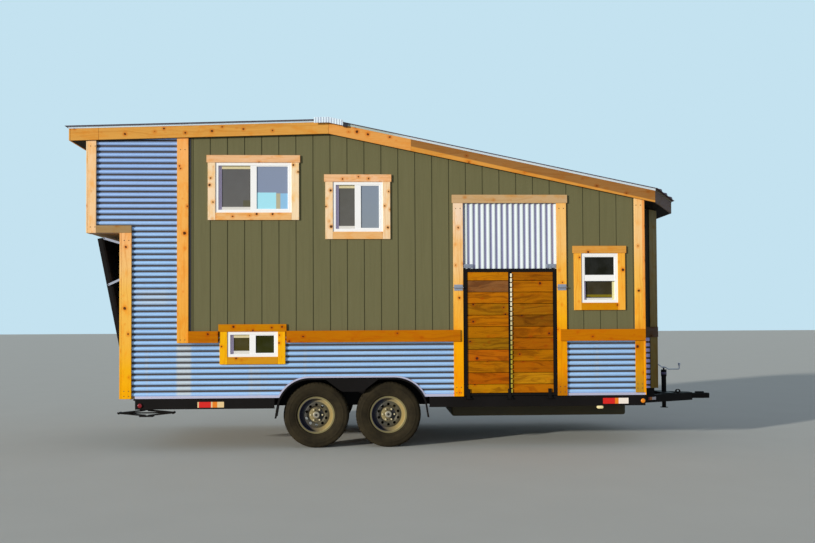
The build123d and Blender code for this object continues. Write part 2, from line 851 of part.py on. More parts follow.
def grooved_side(door):
    """The grooved upright siding above the band, on +Y."""
    outline = [(seam_station, seam_height), (frame_length, seam_height), (frame_length, underside(frame_length)),
               (ridge_station, ridge_underside), (seam_station, underside(seam_station))]
    sheet = elevation(outline, wall_half, shell_half)
    sheet = cut_openings(sheet, door)
    for n in range(int((frame_length - groove_start) / groove_pitch) + 1):
        station = groove_start + n * groove_pitch
        sheet -= block(station - groove_width / 2, station + groove_width / 2, shell_half - groove_depth,
                       shell_half + 1, 0, well_clear)
    return sheet


def loft_rear_sheet():
    """Corrugated sheet across the loft's rear face."""
    low = loft_underside
    high = underside(loft_rear)
    face = wave_face(high - low, 0, skin_thickness)
    upright = Plane(origin=(loft_rear + skin_thickness, -wall_half, low), x_dir=(0, 0, 1), z_dir=(0, 1, 0)) * face
    sheet = extrude(upright, 2 * wall_half, dir=(0, 1, 0))
    return sheet & elevation(side_outline(loft_rear - 1, loft_rear + skin_thickness, low), -wall_half, wall_half)


def rear_wall_sheet():
    """Plain sheet behind the rear deck, with the doorway cut in it."""
    sheet = block(0, skin_thickness, -room_half, room_half, frame_top, loft_underside)
    return sheet - block(-1, skin_thickness + 1, -rear_door_half, rear_door_half, floor_top, rear_door_head)


def bay_sheet(low, high):
    """One belt of the front bay's cladding: both flanks and the nose, as one U in plan."""
    top = [(frame_length, low), (bay_front, low), (bay_front, high), (frame_length, high)]
    if high > underside(bay_front):
        top = side_outline(frame_length, bay_front, low)
    outer = elevation(top, -bay_half, bay_half)
    inner = block(0, bay_front - skin_thickness, -bay_half + skin_thickness, bay_half - skin_thickness,
                  low - 1, ridge_underside)
    return outer - inner


def front_sheets(low, high):
    """One belt of cladding on the front wall, beside the bay."""
    start = frame_length - skin_thickness
    points = [(start, low), (frame_length, low), (frame_length, high), (start, high)]
    if high > underside(frame_length):
        points = side_outline(start, frame_length, low)
    return both_sides(elevation(points, bay_half, wall_half))


def grooved_siding():
    """Near, far and front fields of the grooved siding."""
    near = mirror(grooved_side(True), about=far)
    return [near, grooved_side(False), bay_sheet(seam_height, ridge_underside)] + front_sheets(
        seam_height, ridge_underside)


def corrugated_siding():
    near = mirror(corrugated_side(True), about=far)
    ends = [loft_rear_sheet(), rear_wall_sheet(), bay_sheet(bay_floor, seam_height - board_gap)]
    return [near, corrugated_side(False)] + ends + front_sheets(frame_top, seam_height - board_gap)


def flashings():
    """Light metal strips at the foot of the walls, over the band boards and round the fenders, on +Y."""
    y0, y1 = wall_half, shell_half + flashing_thickness
    foot = block(0, frame_length, y0, y1, frame_top, frame_top + flashing)
    gap = fender_prism(board_gap, y0 - 1, y1 + 1)
    arch = fender_prism(arch_flashing, y0, y1) - gap
    arch = arch & block(0, frame_length, y0 - 1, y1 + 1, frame_top, fender_top + arch_flashing)
    strip = (foot - gap) + arch
    near = strip - block(door_rear - door_post_width, door_front + door_post_width, y0 - 1, y1 + 1, 0, door_head)
    return [strip, mirror(near, about=far)]


# Trim

def window_casing(window):
    """Four boards round a window on +Y: a head that laps the sides, and a sill board between them."""
    rear, sill, width, height, _ = window
    front, top = rear + width, sill + height
    y0, y1 = shell_half, shell_half + trim_thickness
    head = block(rear - casing_width - casing_overhang, front + casing_width + casing_overhang,
                 y0, y1 + head_proud, top + board_gap, top + casing_width)
    apron = block(rear + board_gap, front - board_gap, y0, y1, sill - casing_width, sill)
    sides = [block(x0, x1, y0, y1, sill - casing_width, top)
             for x0, x1 in ((rear - casing_width, rear), (front, front + casing_width))]
    return [head, apron] + sides


def window_casings():
    boards = [board for window in windows for board in window_casing(window)]
    return [half for board in boards for half in both_sides(board)]


def casing_zone():
    """What the casings cover, to stop the band boards at them."""
    zone = None
    out = shell_half + band_thickness + board_gap
    for rear, sill, width, height, _ in windows:
        side, top = casing_width + board_gap, sill + height
        piece = block(rear - side, rear + width + side, shell_half - 1, out, sill - casing_width, top)
        side += casing_overhang
        piece += block(rear - side, rear + width + side, shell_half - 1, out, top, top + casing_width)
        zone = piece if zone is None else zone + piece
    return zone


def corner_posts():
    """Side and end boards at each corner, and the post between the loft and the grooved siding."""
    y0, y1 = shell_half, shell_half + trim_thickness
    pieces = []
    tail = block(wing_rear, wing_rear + corner_board, y0, y1, frame_top, loft_underside)
    tail_end = block(wing_rear - rear_board, wing_rear, room_half, y1, frame_top, loft_underside)
    loft = elevation(side_outline(loft_rear, loft_rear + corner_board, loft_underside), y0, y1)
    loft_end = elevation(side_outline(loft_rear - trim_thickness, loft_rear, loft_underside),
                         wall_half - corner_board, y1)
    sill = block(loft_rear + corner_board + board_gap, wing_rear + corner_board, y0, y1,
                 loft_underside + board_gap, loft_underside + casing_width)
    second = elevation(side_outline(second_post_station, second_post_station + second_post_width, band_bottom),
                       y0, y1)
    front_start = frame_length - front_post_width
    front = elevation(side_outline(front_start, frame_length, frame_top + flashing), y0, y1)
    front_end = elevation(side_outline(frame_length, frame_length + trim_thickness, frame_top),
                          shell_half - corner_board, y1)
    bay = elevation(side_outline(bay_front - bay_trim_width, bay_front, bay_floor), bay_half,
                    bay_half + trim_thickness)
    bay_end = elevation(side_outline(bay_front, bay_front + trim_thickness, bay_floor),
                        bay_half - bay_trim_width, bay_half + trim_thickness)
    for piece in (tail + tail_end, loft + loft_end, sill, second, front + front_end, bay + bay_end):
        pieces += both_sides(piece)
    return pieces


def band_boards():
    """The heavy board along the joint of the two claddings; it laps the door posts and front corner."""
    y0, y1 = shell_half, shell_half + band_thickness
    start = second_post_station + second_post_width + board_gap
    whole = block(start, frame_length, y0, y1, band_bottom, band_top) - casing_zone()
    front_start = frame_length - front_post_width
    under = shell_half + trim_thickness
    whole -= block(front_start - board_gap, frame_length + 1, y0 - 1, under, 0, band_top + 1)
    near = whole - block(door_rear - band_lap, door_front + band_lap, y0 - 1, y1 + 1, 0, band_top + 1)
    near -= block(door_rear - door_post_width - board_gap, door_front + door_post_width + board_gap,
                  y0 - 1, under, 0, band_top + 1)
    bay = block(frame_length + trim_thickness + board_gap, bay_front + trim_thickness,
                bay_half, bay_half + band_thickness, bay_band_bottom, bay_band_bottom + bay_band_height)
    bay -= block(bay_front - bay_trim_width - board_gap, bay_front + trim_thickness + 1,
                 bay_half - 1, bay_half + trim_thickness, 0, bay_band_bottom + bay_band_height + 1)
    return [whole, mirror(near, about=far)] + both_sides(bay)


def door_trim():
    """Posts and header round the side doorway, on the near side."""
    y0, y1 = -shell_half - trim_thickness, -shell_half
    posts = [block(x0, x1, y0, y1, frame_top, door_head - board_gap)
             for x0, x1 in ((door_rear - door_post_width, door_rear), (door_front, door_front + door_post_width))]
    header = block(door_rear - door_post_width - casing_overhang, door_front + door_post_width + casing_overhang,
                   y0 - head_proud, y1, door_head, door_head + header_height)
    return posts + [header]


# Windows

def window_parts(window):
    """A vinyl frame with its meeting rail, and two panes, on +Y."""
    rear, sill, width, height, style = window
    front, top = rear + width, sill + height
    y1 = shell_half + window_proud
    y0 = y1 - window_depth
    frame = block(rear, front, y0, y1, sill, top)
    edge = window_frame_width
    frame -= block(rear + edge, front - edge, y0 - 1, y1 + 1, sill + edge, top - edge)
    sash_out, sash_in = y1 - sash_setback[0], y1 - sash_setback[1]
    bar = window_sash_width
    panes = []
    if style == "slide":
        middle = rear + width / 2
        fields = ((rear + edge, middle - bar / 2), (middle + bar / 2, front - edge))
        frame += block(middle - bar / 2, middle + bar / 2, sash_in, sash_out, sill + edge, top - edge)
        for n, (x0, x1) in enumerate(fields):
            depth = sash_out - pane_step * (n + 1)
            panes.append(block(x0, x1, depth - glass_thickness, depth, sill + edge, top - edge))
    else:
        middle = sill + height / 2
        fields = ((sill + edge, middle - bar / 2), (middle + bar / 2, top - edge))
        frame += block(rear + edge, front - edge, sash_in, sash_out, middle - bar / 2, middle + bar / 2)
        for n, (z0, z1) in enumerate(fields):
            depth = sash_out - pane_step * (n + 1)
            panes.append(block(rear + edge, front - edge, depth - glass_thickness, depth, z0, z1))
    return frame, panes


def window_frames():
    return [half for window in windows for half in both_sides(window_parts(window)[0])]


def window_glass():
    return [half for window in windows for pane in window_parts(window)[1] for half in both_sides(pane)]


# Roof

def roof_plan(grow):
    """The roof seen from above, grown by a margin: square at the rear, with two cut corners in front."""
    bevel_run = roof_front - roof_corner
    bevel_rise = roof_half - roof_front_half
    slant = sqrt(bevel_run ** 2 + bevel_rise ** 2)
    half = roof_half + grow
    front = roof_front + grow
    shift = grow * (slant - bevel_run) / bevel_rise
    corner = roof_corner + shift
    front_half = roof_front_half + grow * (slant - bevel_rise) / bevel_run
    points = [(roof_rear - grow, -half), (corner, -half), (front, -front_half), (front, front_half),
              (corner, half), (roof_rear - grow, half)]
    return make_face(Polyline(*[(x, y, 0) for x, y in points], close=True))


def roof_column(grow):
    return extrude(roof_plan(grow), well_clear, dir=(0, 0, 1))


def roof_band(low, high, start=roof_rear - roof_margin, end=roof_front + roof_margin,
              half=roof_half + roof_margin):
    """A layer between two heights above the roof's lower face, following both slopes."""
    stations = [start] + [ridge_station] * (start < ridge_station < end) + [end]
    points = [(x, underside(x) + low) for x in stations]
    points += [(x, underside(x) + high) for x in reversed(stations)]
    return elevation(points, -half, half)


def roof_deck(start, end):
    deck = roof_band(0, fascia_height + drip_height, start, end)
    return deck & roof_column(-fascia_thickness)


def fascia():
    ring = roof_band(0, fascia_height) & (roof_column(0) - roof_column(-fascia_thickness))
    kerf = board_gap / 2
    ring -= block(ridge_station - kerf, ridge_station + kerf, -well_clear, well_clear, 0, well_clear)
    inside = roof_rear + fascia_thickness
    ring -= block(inside - kerf, inside + kerf, -well_clear, well_clear, 0, well_clear)
    bevel = degrees(atan2(roof_half - roof_front_half, roof_front - roof_corner))
    for x, y, mitre in ((roof_corner, roof_half, 90 - bevel / 2), (roof_front, roof_front_half, (90 - bevel) / 2)):
        for side in (-1, 1):
            ring -= Pos(x, side * y, 0) * Rot(0, 0, side * mitre) * Box(4 * fascia_thickness, 2 * kerf, 2 * well_clear)
    return ring


def drip_edge():
    """Metal angle over the fascia's top edge, all round."""
    top = fascia_height + drip_height
    ring = roof_band(fascia_height, top) & (roof_column(drip_proud) - roof_column(-fascia_thickness))
    return ring - block(ridge_station - board_gap, ridge_station + board_gap, -well_clear, well_clear, 0, well_clear)


def roofing():
    """Ribbed roofing sheet on both slopes, stopped short of the ridge under its cap."""
    base = fascia_height + drip_height
    sheets = []
    column = roof_column(roofing_proud)
    ribs = int((roof_half + roofing_proud) / rib_pitch)
    for start, end in ((crown_rear - 50, ridge_station - 2), (ridge_station + 2, crown_front + 50)):
        low, high = underside(start) + base, underside(end) + base
        edge = roof_half + roof_margin
        points = [(-edge, 0), (edge, 0), (edge, roofing_pan)]
        for n in range(ribs, -ribs - 1, -1):
            y = n * rib_pitch
            points += [(y + rib_base / 2, roofing_pan), (y + rib_crown / 2, roofing_pan + rib_height),
                       (y - rib_crown / 2, roofing_pan + rib_height), (y - rib_base / 2, roofing_pan)]
        points += [(-edge, roofing_pan)]
        section = make_face(Polyline(*[(start, y, low + z) for y, z in points], close=True))
        run = Vector(end - start, 0, high - low)
        sheets.append(extrude(section, run.length, dir=run) & column)
    return sheets


def ridge_cap():
    """A bent cap over the ridge, resting on the ribs, its ends turned down over the roof's edges."""
    base = fascia_height + drip_height + roofing_pan + rib_height
    half = roof_half + roofing_proud + cap_thickness
    start, end = ridge_station - cap_half, ridge_station + cap_half
    cap = roof_band(base, base + cap_thickness, start, end, half)
    drop = roof_band(base - cap_drop + cap_thickness, base, start, end, half)
    drop -= block(start - 1, end + 1, -half + cap_thickness, half - cap_thickness, 0, well_clear)
    return cap + drop


# Decks

def awning_panel():
    """The corrugated flap over the side deck, ribs upright, on its backing board."""
    low, high = side_deck_top + deck_clearance, door_head
    gap = board_gap
    start, end = door_rear + gap, door_front - gap
    face = wave_face(end - start, 0, skin_thickness)
    flat = Plane(origin=(start, -wall_half, low), x_dir=(1, 0, 0), z_dir=(0, 0, 1)) * mirror(face, about=Plane.XZ)
    sheet = extrude(flat, high - low, dir=(0, 0, 1))
    sheet = sheet & block(start, end, -shell_half - 1, -wall_half, low, high)
    return sheet + block(start, end, -wall_half, -wall_half + trim_thickness, low, high)


def side_deck_frame():
    """Steel tube round the deck with a centre stile and ledges behind the boards, and three hinge straps."""
    start, end = door_rear + deck_clearance, door_front - deck_clearance
    y0, y1 = -side_deck_face, -side_deck_face + deck_tube
    low, high = side_deck_bottom, side_deck_top
    tube = side_deck_rail
    frame = block(start, end, y0, y1, low, high)
    inner_low, inner_high = low + side_deck_sill, high - side_deck_head
    frame -= block(start + tube, end - tube, y0 - 1, y1 + 1, inner_low, inner_high)
    middle = (start + end) / 2
    frame += block(middle - tube / 2, middle + tube / 2, y0 + side_deck_recess, y1, inner_low, inner_high)
    back = y0 + side_deck_recess + deck_board
    for x0, x1 in ((start + tube, start + 2 * tube), (middle - 1.5 * tube, middle + 1.5 * tube),
                   (end - 2 * tube, end - tube)):
        frame += block(x0, x1, back, y1, inner_low, inner_high)
    for station in side_hinge_stations:
        half = hinge_barrel_length / 2
        frame += cylinder_x(-side_deck_face, side_hinge_height, hinge_barrel_radius, station - half, station + half)
        frame += block(station - half, station + half, y0 - hinge_strap, y0, side_hinge_height,
                       low + 2 * tube)
        frame -= cylinder_x(-side_deck_face, side_hinge_height, hinge_pin_radius + hinge_clearance,
                            station - half - 1, station + half + 1)
    return frame


def side_deck_boards():
    """Two fields of boards between the frame's stiles, lying on its ledges."""
    start, end = door_rear + deck_clearance, door_front - deck_clearance
    tube = side_deck_rail
    middle = (start + end) / 2
    y0 = -side_deck_face + side_deck_recess
    low, high = side_deck_bottom + side_deck_sill + board_gap, side_deck_top - side_deck_head - board_gap
    return [block(x0 + board_gap, x1 - board_gap, y0, y0 + deck_board, low, high)
            for x0, x1 in ((start + tube, middle - tube / 2), (middle + tube / 2, end - tube))]


def side_hinges():
    """Pins of the side deck, each between two lugs welded to the outer rail."""
    pieces = []
    for station in side_hinge_stations:
        half = hinge_barrel_length / 2
        pin = cylinder_x(-side_deck_face, side_hinge_height, hinge_pin_radius, station - half - 14, station + half + 14)
        for side in (-1, 1):
            x0, x1 = sorted((station + side * (half + 6), station + side * (half + 14)))
            lug = block(x0, x1, -side_deck_face, -outer_rail_half, side_hinge_height - hinge_barrel_radius,
                        side_hinge_height + hinge_barrel_radius)
            pin += lug + cylinder_x(-side_deck_face, side_hinge_height, hinge_barrel_radius, x0, x1)
        pieces.append(pin)
    return pieces


def leaned(shape):
    """Lean an upright rear-deck piece out about its hinge line."""
    line = Axis((rear_hinge_station, 0, rear_hinge_height), (0, 1, 0))
    return shape.rotate(line, -rear_deck_lean)


def rear_deck_frame():
    """Steel tube frame with joists, carried by three hinge barrels at its foot."""
    x0 = rear_hinge_station
    x1 = x0 + deck_tube
    foot = rear_hinge_height + hinge_barrel_radius + rear_hinge_foot
    top = rear_hinge_height + rear_deck_length
    half = rear_deck_half
    tube = rear_deck_rail
    frame = block(x0, x1, -half, half, foot, top)
    frame -= block(x0 - 1, x1 + 1, -half + tube, half - tube, foot + tube, top - tube)
    step = 2 * (half - tube) / (rear_joist_count + 1)
    for n in range(1, rear_joist_count + 1):
        y = -half + tube + n * step
        frame += block(x0, x1, y - deck_tube / 2, y + deck_tube / 2, foot + tube, top - tube)
    for y in rear_hinge_places:
        barrel = cylinder_y(x0, rear_hinge_height, hinge_barrel_radius, y - hinge_barrel_length, y + hinge_barrel_length)
        strap = block(x0 - hinge_strap / 2, x0 + hinge_strap / 2, y - hinge_barrel_length,
                      y + hinge_barrel_length, rear_hinge_height, foot + tube)
        bore = cylinder_y(x0, rear_hinge_height, hinge_pin_radius + hinge_clearance,
                          y - 2 * hinge_barrel_length, y + 2 * hinge_barrel_length)
        frame = (frame + barrel + strap) - bore
    return leaned(frame)


def rear_deck_boards():
    x0 = rear_hinge_station + deck_tube
    foot = rear_hinge_height + hinge_barrel_radius + rear_hinge_foot
    top = rear_hinge_height + rear_deck_length
    return leaned(block(x0, x0 + deck_board, -rear_deck_half, rear_deck_half, foot, top))


def rear_hinges():
    """Arms from the frame's rear end to the rear deck's hinge line, each with its pin."""
    pieces = []
    height = rear_hinge_height
    for y in rear_hinge_places:
        reach = hinge_barrel_length + 6
        pin = cylinder_y(rear_hinge_station, height, hinge_pin_radius, y - reach - 8, y + reach + 8)
        for side in (-1, 1):
            y0, y1 = sorted((y + side * reach, y + side * (reach + 8)))
            arm = block(rear_hinge_station, 0, y0, y1, height - hinge_barrel_radius, height)
            pin += arm + cylinder_y(rear_hinge_station, height, hinge_barrel_radius, y0, y1)
        pieces.append(pin)
    return pieces


def deck_stays():
    """Flat bars with an eye at each end, from the tail's end boards out beside the rear deck, both sides."""
    pieces = []
    root = wing_rear - rear_board
    y0 = room_half + deck_clearance
    y1 = y0 + stay_thickness
    for plate_below, eye_below, reach in stays:
        low, high = loft_underside - plate_below, loft_underside - eye_below
        tip = root - reach
        turn = degrees(atan2(high - low, reach))
        length = sqrt(reach ** 2 + (high - low) ** 2)
        bar = Pos(root, 0, low) * Rot(0, turn, 0) * block(-length, 0, y0, y1, -stay_width / 2, stay_width / 2)
        bar += cylinder_y(tip, high, stay_width / 2, y0, y1)
        bar -= cylinder_y(tip, high, stay_width / 4, y0 - 1, y1 + 1)
        bar -= block(root, root + stay_width, 0, 2 * y1, 0, ridge_underside)
        plate = block(root - stay_plate, root, y0, y0 + stay_plate_width, low - stay_plate_half, low + stay_plate_half)
        pieces += both_sides(bar + plate)
    return pieces


def deck_latches():
    """Barrel bolts on the two door posts, drawn clear of the deck."""
    pieces = []
    length, height, thickness = latch_plate
    face = -shell_half - trim_thickness - thickness
    line = face - latch_barrel_radius
    for side, edge in ((-1, door_rear), (1, door_front)):
        middle = edge + side * door_post_width / 2
        plate = block(middle - length / 2, middle + length / 2, face, face + thickness,
                      latch_height - height / 2, latch_height + height / 2)
        half = length / 2 - latch_barrel_radius
        barrel = cylinder_x(line, latch_height, latch_barrel_radius, middle - half, middle + half)
        barrel += block(middle - half, middle + half, line, face,
                        latch_height - latch_barrel_radius, latch_height + latch_barrel_radius)
        rod = cylinder_x(line, latch_height, latch_rod_radius, middle - latch_rod_reach, middle + latch_rod_reach)
        pieces.append(plate + barrel + rod)
    return pieces


parts = {
    "frame_rails": frame_rails,
    "crossmembers": crossmembers,
    "fenders": fenders,
    "axles": axles,
    "leaf_springs": leaf_springs,
    "tongue": tongue,
    "coupler": coupler,
    "tongue_jack": tongue_jack,
    "jack_leg": jack_leg,
    "jack_crank": jack_crank,
    "stabiliser_jacks": stabilisers,
    "under_tank": under_tank,
    "floor": floor,
    "loft_floor": loft_floor,
    "near_walls": near_walls,
    "near_wall_over_door": near_wall_over_door,
    "far_wall": far_wall,
    "loft_side_walls": loft_side_walls,
    "rear_wall_sides": rear_wall_sides,
    "rear_wall_lintel": rear_wall_lintel,
    "loft_rear_wall": loft_rear_wall,
    "front_walls": front_walls,
    "bay_side_walls": bay_side_walls,
    "bay_front_wall": bay_front_wall,
    "bay_base": bay_base,
    "corrugated_siding": corrugated_siding,
    "grooved_siding": grooved_siding,
    "flashings": flashings,
    "corner_posts": corner_posts,
    "band_boards": band_boards,
    "door_trim": door_trim,
    "window_casings": window_casings,
    "window_frames": window_frames,
    "window_glass": window_glass,
    "fascia": fascia,
    "drip_edge": drip_edge,
    "roofing": roofing,
    "ridge_cap": ridge_cap,
    "awning_panel": awning_panel,
    "side_deck_frame": side_deck_frame,
    "side_deck_boards": side_deck_boards,
    "side_hinges": side_hinges,
    "rear_deck_frame": rear_deck_frame,
    "rear_deck_boards": rear_deck_boards,
    "rear_hinges": rear_hinges,
    "deck_latches": deck_latches,
    "deck_stays": deck_stays,
}

os.makedirs("parts", exist_ok=True)
for name, make in parts.items():
    write(name, make())
write("roof_deck_rear", roof_deck(roof_rear - roof_margin, ridge_station))
write("roof_deck_front", roof_deck(ridge_station, roof_front + roof_margin))
for axle_name, station in zip(("rear", "front"), axle_stations):
    for side_name, side in (("near", -1), ("far", 1)):
        write(f"tyre_{axle_name}_{side_name}", tyre(station, side))
        write(f"rim_{axle_name}_{side_name}", rim(station, side))
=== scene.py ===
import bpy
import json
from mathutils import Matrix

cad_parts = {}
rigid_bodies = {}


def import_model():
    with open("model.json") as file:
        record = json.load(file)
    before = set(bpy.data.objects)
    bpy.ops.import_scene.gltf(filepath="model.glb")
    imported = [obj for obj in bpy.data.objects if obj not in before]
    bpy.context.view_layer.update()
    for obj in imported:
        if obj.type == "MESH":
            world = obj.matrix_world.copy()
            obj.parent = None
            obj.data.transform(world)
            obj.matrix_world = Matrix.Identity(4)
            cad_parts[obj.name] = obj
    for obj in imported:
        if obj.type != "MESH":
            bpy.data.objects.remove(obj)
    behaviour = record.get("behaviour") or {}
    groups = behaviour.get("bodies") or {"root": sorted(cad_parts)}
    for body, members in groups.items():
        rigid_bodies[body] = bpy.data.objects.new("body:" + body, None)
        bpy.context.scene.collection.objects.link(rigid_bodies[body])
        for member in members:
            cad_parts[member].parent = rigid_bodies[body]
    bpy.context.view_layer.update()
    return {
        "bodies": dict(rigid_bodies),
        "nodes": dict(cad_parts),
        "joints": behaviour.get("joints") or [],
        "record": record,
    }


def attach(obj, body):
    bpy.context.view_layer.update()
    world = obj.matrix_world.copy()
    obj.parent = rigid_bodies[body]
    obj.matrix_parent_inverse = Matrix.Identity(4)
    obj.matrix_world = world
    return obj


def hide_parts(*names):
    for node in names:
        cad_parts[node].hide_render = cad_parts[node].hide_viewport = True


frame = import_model()

import json
import math
import random
from contextlib import contextmanager

import bpy
from mathutils import Matrix, Vector

nodes = frame["nodes"]

# Lengths in the settings are millimetres: stations along the trailer from the rear end of its frame,
# places across it (minus is the side with the fold-down deck) and heights above the ground.
house = {
    "middleStation": 3284.5, "frameLength": 6096, "frameTop": 607, "shellHalf": 1250, "trimDepth": 20,
    "bandBottom": 1262, "bandTop": 1402, "bandDepth": 38, "bandLap": 36,
    "doorRear": 3894, "doorFront": 5027, "doorHead": 2925, "doorPost": 117,
    "bayFront": 6390, "bayHalf": 763, "bayFloor": 652,
    "loftRear": -550, "loftUnderside": 2570, "wingRear": -154, "aboveRoof": 4200,
}
ridge = {"station": 2292, "underside": 3752, "rearSlope": 0.36 / 12, "frontSlope": 2.5 / 12}
windows = {
    "loft": {"rear": 945, "sill": 2811, "width": 902, "height": 597, "style": "slide"},
    "middle": {"rear": 2338, "sill": 2582, "width": 597, "height": 597, "style": "slide"},
    "low": {"rear": 1084, "sill": 1095, "width": 597, "height": 298, "style": "slide"},
    "front": {"rear": 5324, "sill": 1721, "width": 445, "height": 597, "style": "hung"},
}
sides = ((-1, "near"), (1, "far"))


def along(station):
    return (station - house["middleStation"]) / 1000


def place(station, across, height):
    return Vector((along(station), across / 1000, height / 1000))


def underside(station):
    # height of the roof's lower face
    run = station - ridge["station"]
    return ridge["underside"] + (ridge["rearSlope"] if run < 0 else -ridge["frontSlope"]) * run


def shade(red, green, blue):
    # a colour in screen values, 0 to 255, made linear
    linear = [v / 3294.6 if v <= 10.3 else ((v / 255 + 0.055) / 1.055) ** 2.4 for v in (red, green, blue)]
    return (*linear, 1)


def sideBlock(side, x0, x1, inner, outer, z0, z1):
    # two corners on one side of the house, its places counted outwards
    y0, y1 = sorted((side * inner, side * outer))
    return (x0, y0, z0), (x1, y1, z1)


# Shader maths

class Wire:
    # an output socket; sums on it add Math nodes
    def __init__(self, graph, socket):
        self.graph = graph
        self.socket = socket

    def sum(self, operation, *values):
        return self.graph.node("ShaderNodeMath", {"operation": operation}, dict(enumerate(values)))

    def __add__(self, other):
        return self.sum("ADD", self, other)

    def __radd__(self, other):
        return self.sum("ADD", other, self)

    def __sub__(self, other):
        return self.sum("SUBTRACT", self, other)

    def __rsub__(self, other):
        return self.sum("SUBTRACT", other, self)

    def __mul__(self, other):
        return self.sum("MULTIPLY", self, other)

    def __truediv__(self, other):
        return self.sum("DIVIDE", self, other)

    def __mod__(self, other):
        return self.sum("FLOORED_MODULO", self, other)

    def __gt__(self, other):
        return self.sum("GREATER_THAN", self, other)

    def __lt__(self, other):
        return self.sum("LESS_THAN", self, other)

    def __abs__(self):
        return self.sum("ABSOLUTE", self)

    def clamped(self):
        return self.graph.node("ShaderNodeClamp", None, {"Value": self, "Min": 0.0, "Max": 1.0})

    def ramped(self, start, rate):
        # 0 at start, then changing at rate, kept within 0 to 1
        return ((self - start) * rate).clamped()


class Graph:
    # a node tree; all its nodes are made by one method
    def __init__(self, tree):
        self.tree = tree

    def feed(self, socket, value):
        if isinstance(value, Wire):
            self.tree.links.new(value.socket, socket)
        else:
            socket.default_value = value

    def node(self, kind, settings=None, values=None, out=0):
        made = self.tree.nodes.new(kind)
        for name, value in (settings or {}).items():
            setattr(made, name, value)
        for name, value in (values or {}).items():
            self.feed(made.inputs[name], value)
        return Wire(self, made.outputs[out]) if made.outputs else None


class Finish(Graph):
    # a material; three numbers for a colour are screen values
    def __init__(self, name, specular=None, **fixed):
        self.material = bpy.data.materials.new(name)
        self.material.use_nodes = True
        super().__init__(self.material.node_tree)
        self.shader = self.tree.nodes["Principled BSDF"].inputs
        if specular is not None:
            self.shader["Specular IOR Level"].default_value = specular
        for socket, value in fixed.items():
            self.shader[socket].default_value = value
        self.place = self.node("ShaderNodeTexCoord", out="Object")
        self.x, self.y, self.z = self.split(self.place)

    def split(self, vector):
        made = self.node("ShaderNodeSeparateXYZ", None, {0: vector}).socket.node
        return [Wire(self, socket) for socket in made.outputs]

    def join(self, x, y, z):
        return self.node("ShaderNodeCombineXYZ", None, {0: x, 1: y, 2: z})

    def vector(self, operation, first, second=(0, 0, 0), out="Vector"):
        return self.node("ShaderNodeVectorMath", {"operation": operation}, {0: first, 1: second}, out)

    def attribute(self, name, out="Vector"):
        return self.node("ShaderNodeAttribute", {"attribute_name": name}, out=out)

    def noise(self, vector, scale=1.0, detail=2.0, roughness=0.5, distortion=0.0):
        # scale is one number, or one for each direction
        if isinstance(scale, tuple):
            vector, scale = self.vector("MULTIPLY", vector, scale), 1.0
        return self.node("ShaderNodeTexNoise", None, {"Vector": vector, "Scale": scale, "Detail": detail,
                                                      "Roughness": roughness, "Distortion": distortion})

    def mix(self, factor, first, second, blend="MIX"):
        inks = [shade(*ink) if isinstance(ink, tuple) else ink for ink in (first, second)]
        return self.node("ShaderNodeMix", {"data_type": "RGBA", "blend_type": blend},
                         {0: factor, 6: inks[0], 7: inks[1]}, out=2)

    def coat(self, colour, *coats):
        # shares and tints, each over what is there
        for share, tint in coats:
            colour = self.mix(share, colour, tint)
        return colour

    def between(self, value, low, high, soft):
        # 1 inside low to high, fading over soft outside them
        return ((value - (low - soft)) / soft).clamped() * (((high + soft) - value) / soft).clamped()

    def paint(self, colour, roughness=None, height=None, depth=0.001):
        self.feed(self.shader["Base Color"], colour)
        if roughness is not None:
            self.feed(self.shader["Roughness"], roughness)
        if height is not None:
            bump = self.node("ShaderNodeBump", None, {"Height": height, "Distance": depth, "Strength": 1.0})
            self.feed(self.shader["Normal"], bump)
        return self.material


def dress(material, *names):
    for name in names:
        slots = nodes[name].material_slots
        if slots:
            for slot in slots:
                slot.material = material
        else:
            nodes[name].data.materials.append(material)


# Modelling helpers

def letGo():
    bpy.ops.object.select_all(action="DESELECT")


def pickOnly(piece):
    letGo()
    piece.select_set(True)
    bpy.context.view_layer.objects.active = piece


@contextmanager
def editing(piece, kind="FACE", whole=False):
    pickOnly(piece)
    bpy.context.tool_settings.mesh_select_mode = [kind == each for each in ("VERT", "EDGE", "FACE")]
    bpy.ops.object.mode_set(mode="EDIT")
    if whole:
        bpy.ops.mesh.select_all(action="SELECT")
    yield
    bpy.ops.object.mode_set(mode="OBJECT")


def pickFaces(piece, rule):
    mesh = piece.data
    for part in (mesh.vertices, mesh.edges):
        part.foreach_set("select", [False] * len(part))
    for face in mesh.polygons:
        face.select = rule(face.center, face.normal)


def finished(piece, name):
    piece.name = piece.data.name = name
    return piece


def block(name, corners):
    # a squared block between two corners, given as station, across, height
    first, last = place(*corners[0]), place(*corners[1])
    letGo()
    bpy.ops.mesh.primitive_cube_add(size=1, location=(first + last) / 2)
    made = bpy.context.object
    made.scale = last - first
    bpy.ops.object.transform_apply(location=True, rotation=False, scale=True)
    return finished(made, name)


def rod(name, start, end, radius, edges=24):
    # a round bar between two points in metres
    run = end - start
    letGo()
    turn = run.to_track_quat("Z", "Y").to_euler()
    bpy.ops.mesh.primitive_cylinder_add(vertices=edges, radius=radius, depth=run.length,
                                        location=(start + end) / 2, rotation=turn)
    made = bpy.context.object
    bpy.ops.object.transform_apply(location=True, rotation=True, scale=False)
    return finished(made, name)


def outlined(points):
    # a closed line through points in metres
    letGo()
    bpy.ops.mesh.primitive_circle_add(vertices=len(points), radius=1)
    made = bpy.context.object
    for vertex, point in zip(made.data.vertices, points):
        vertex.co = point
    return made


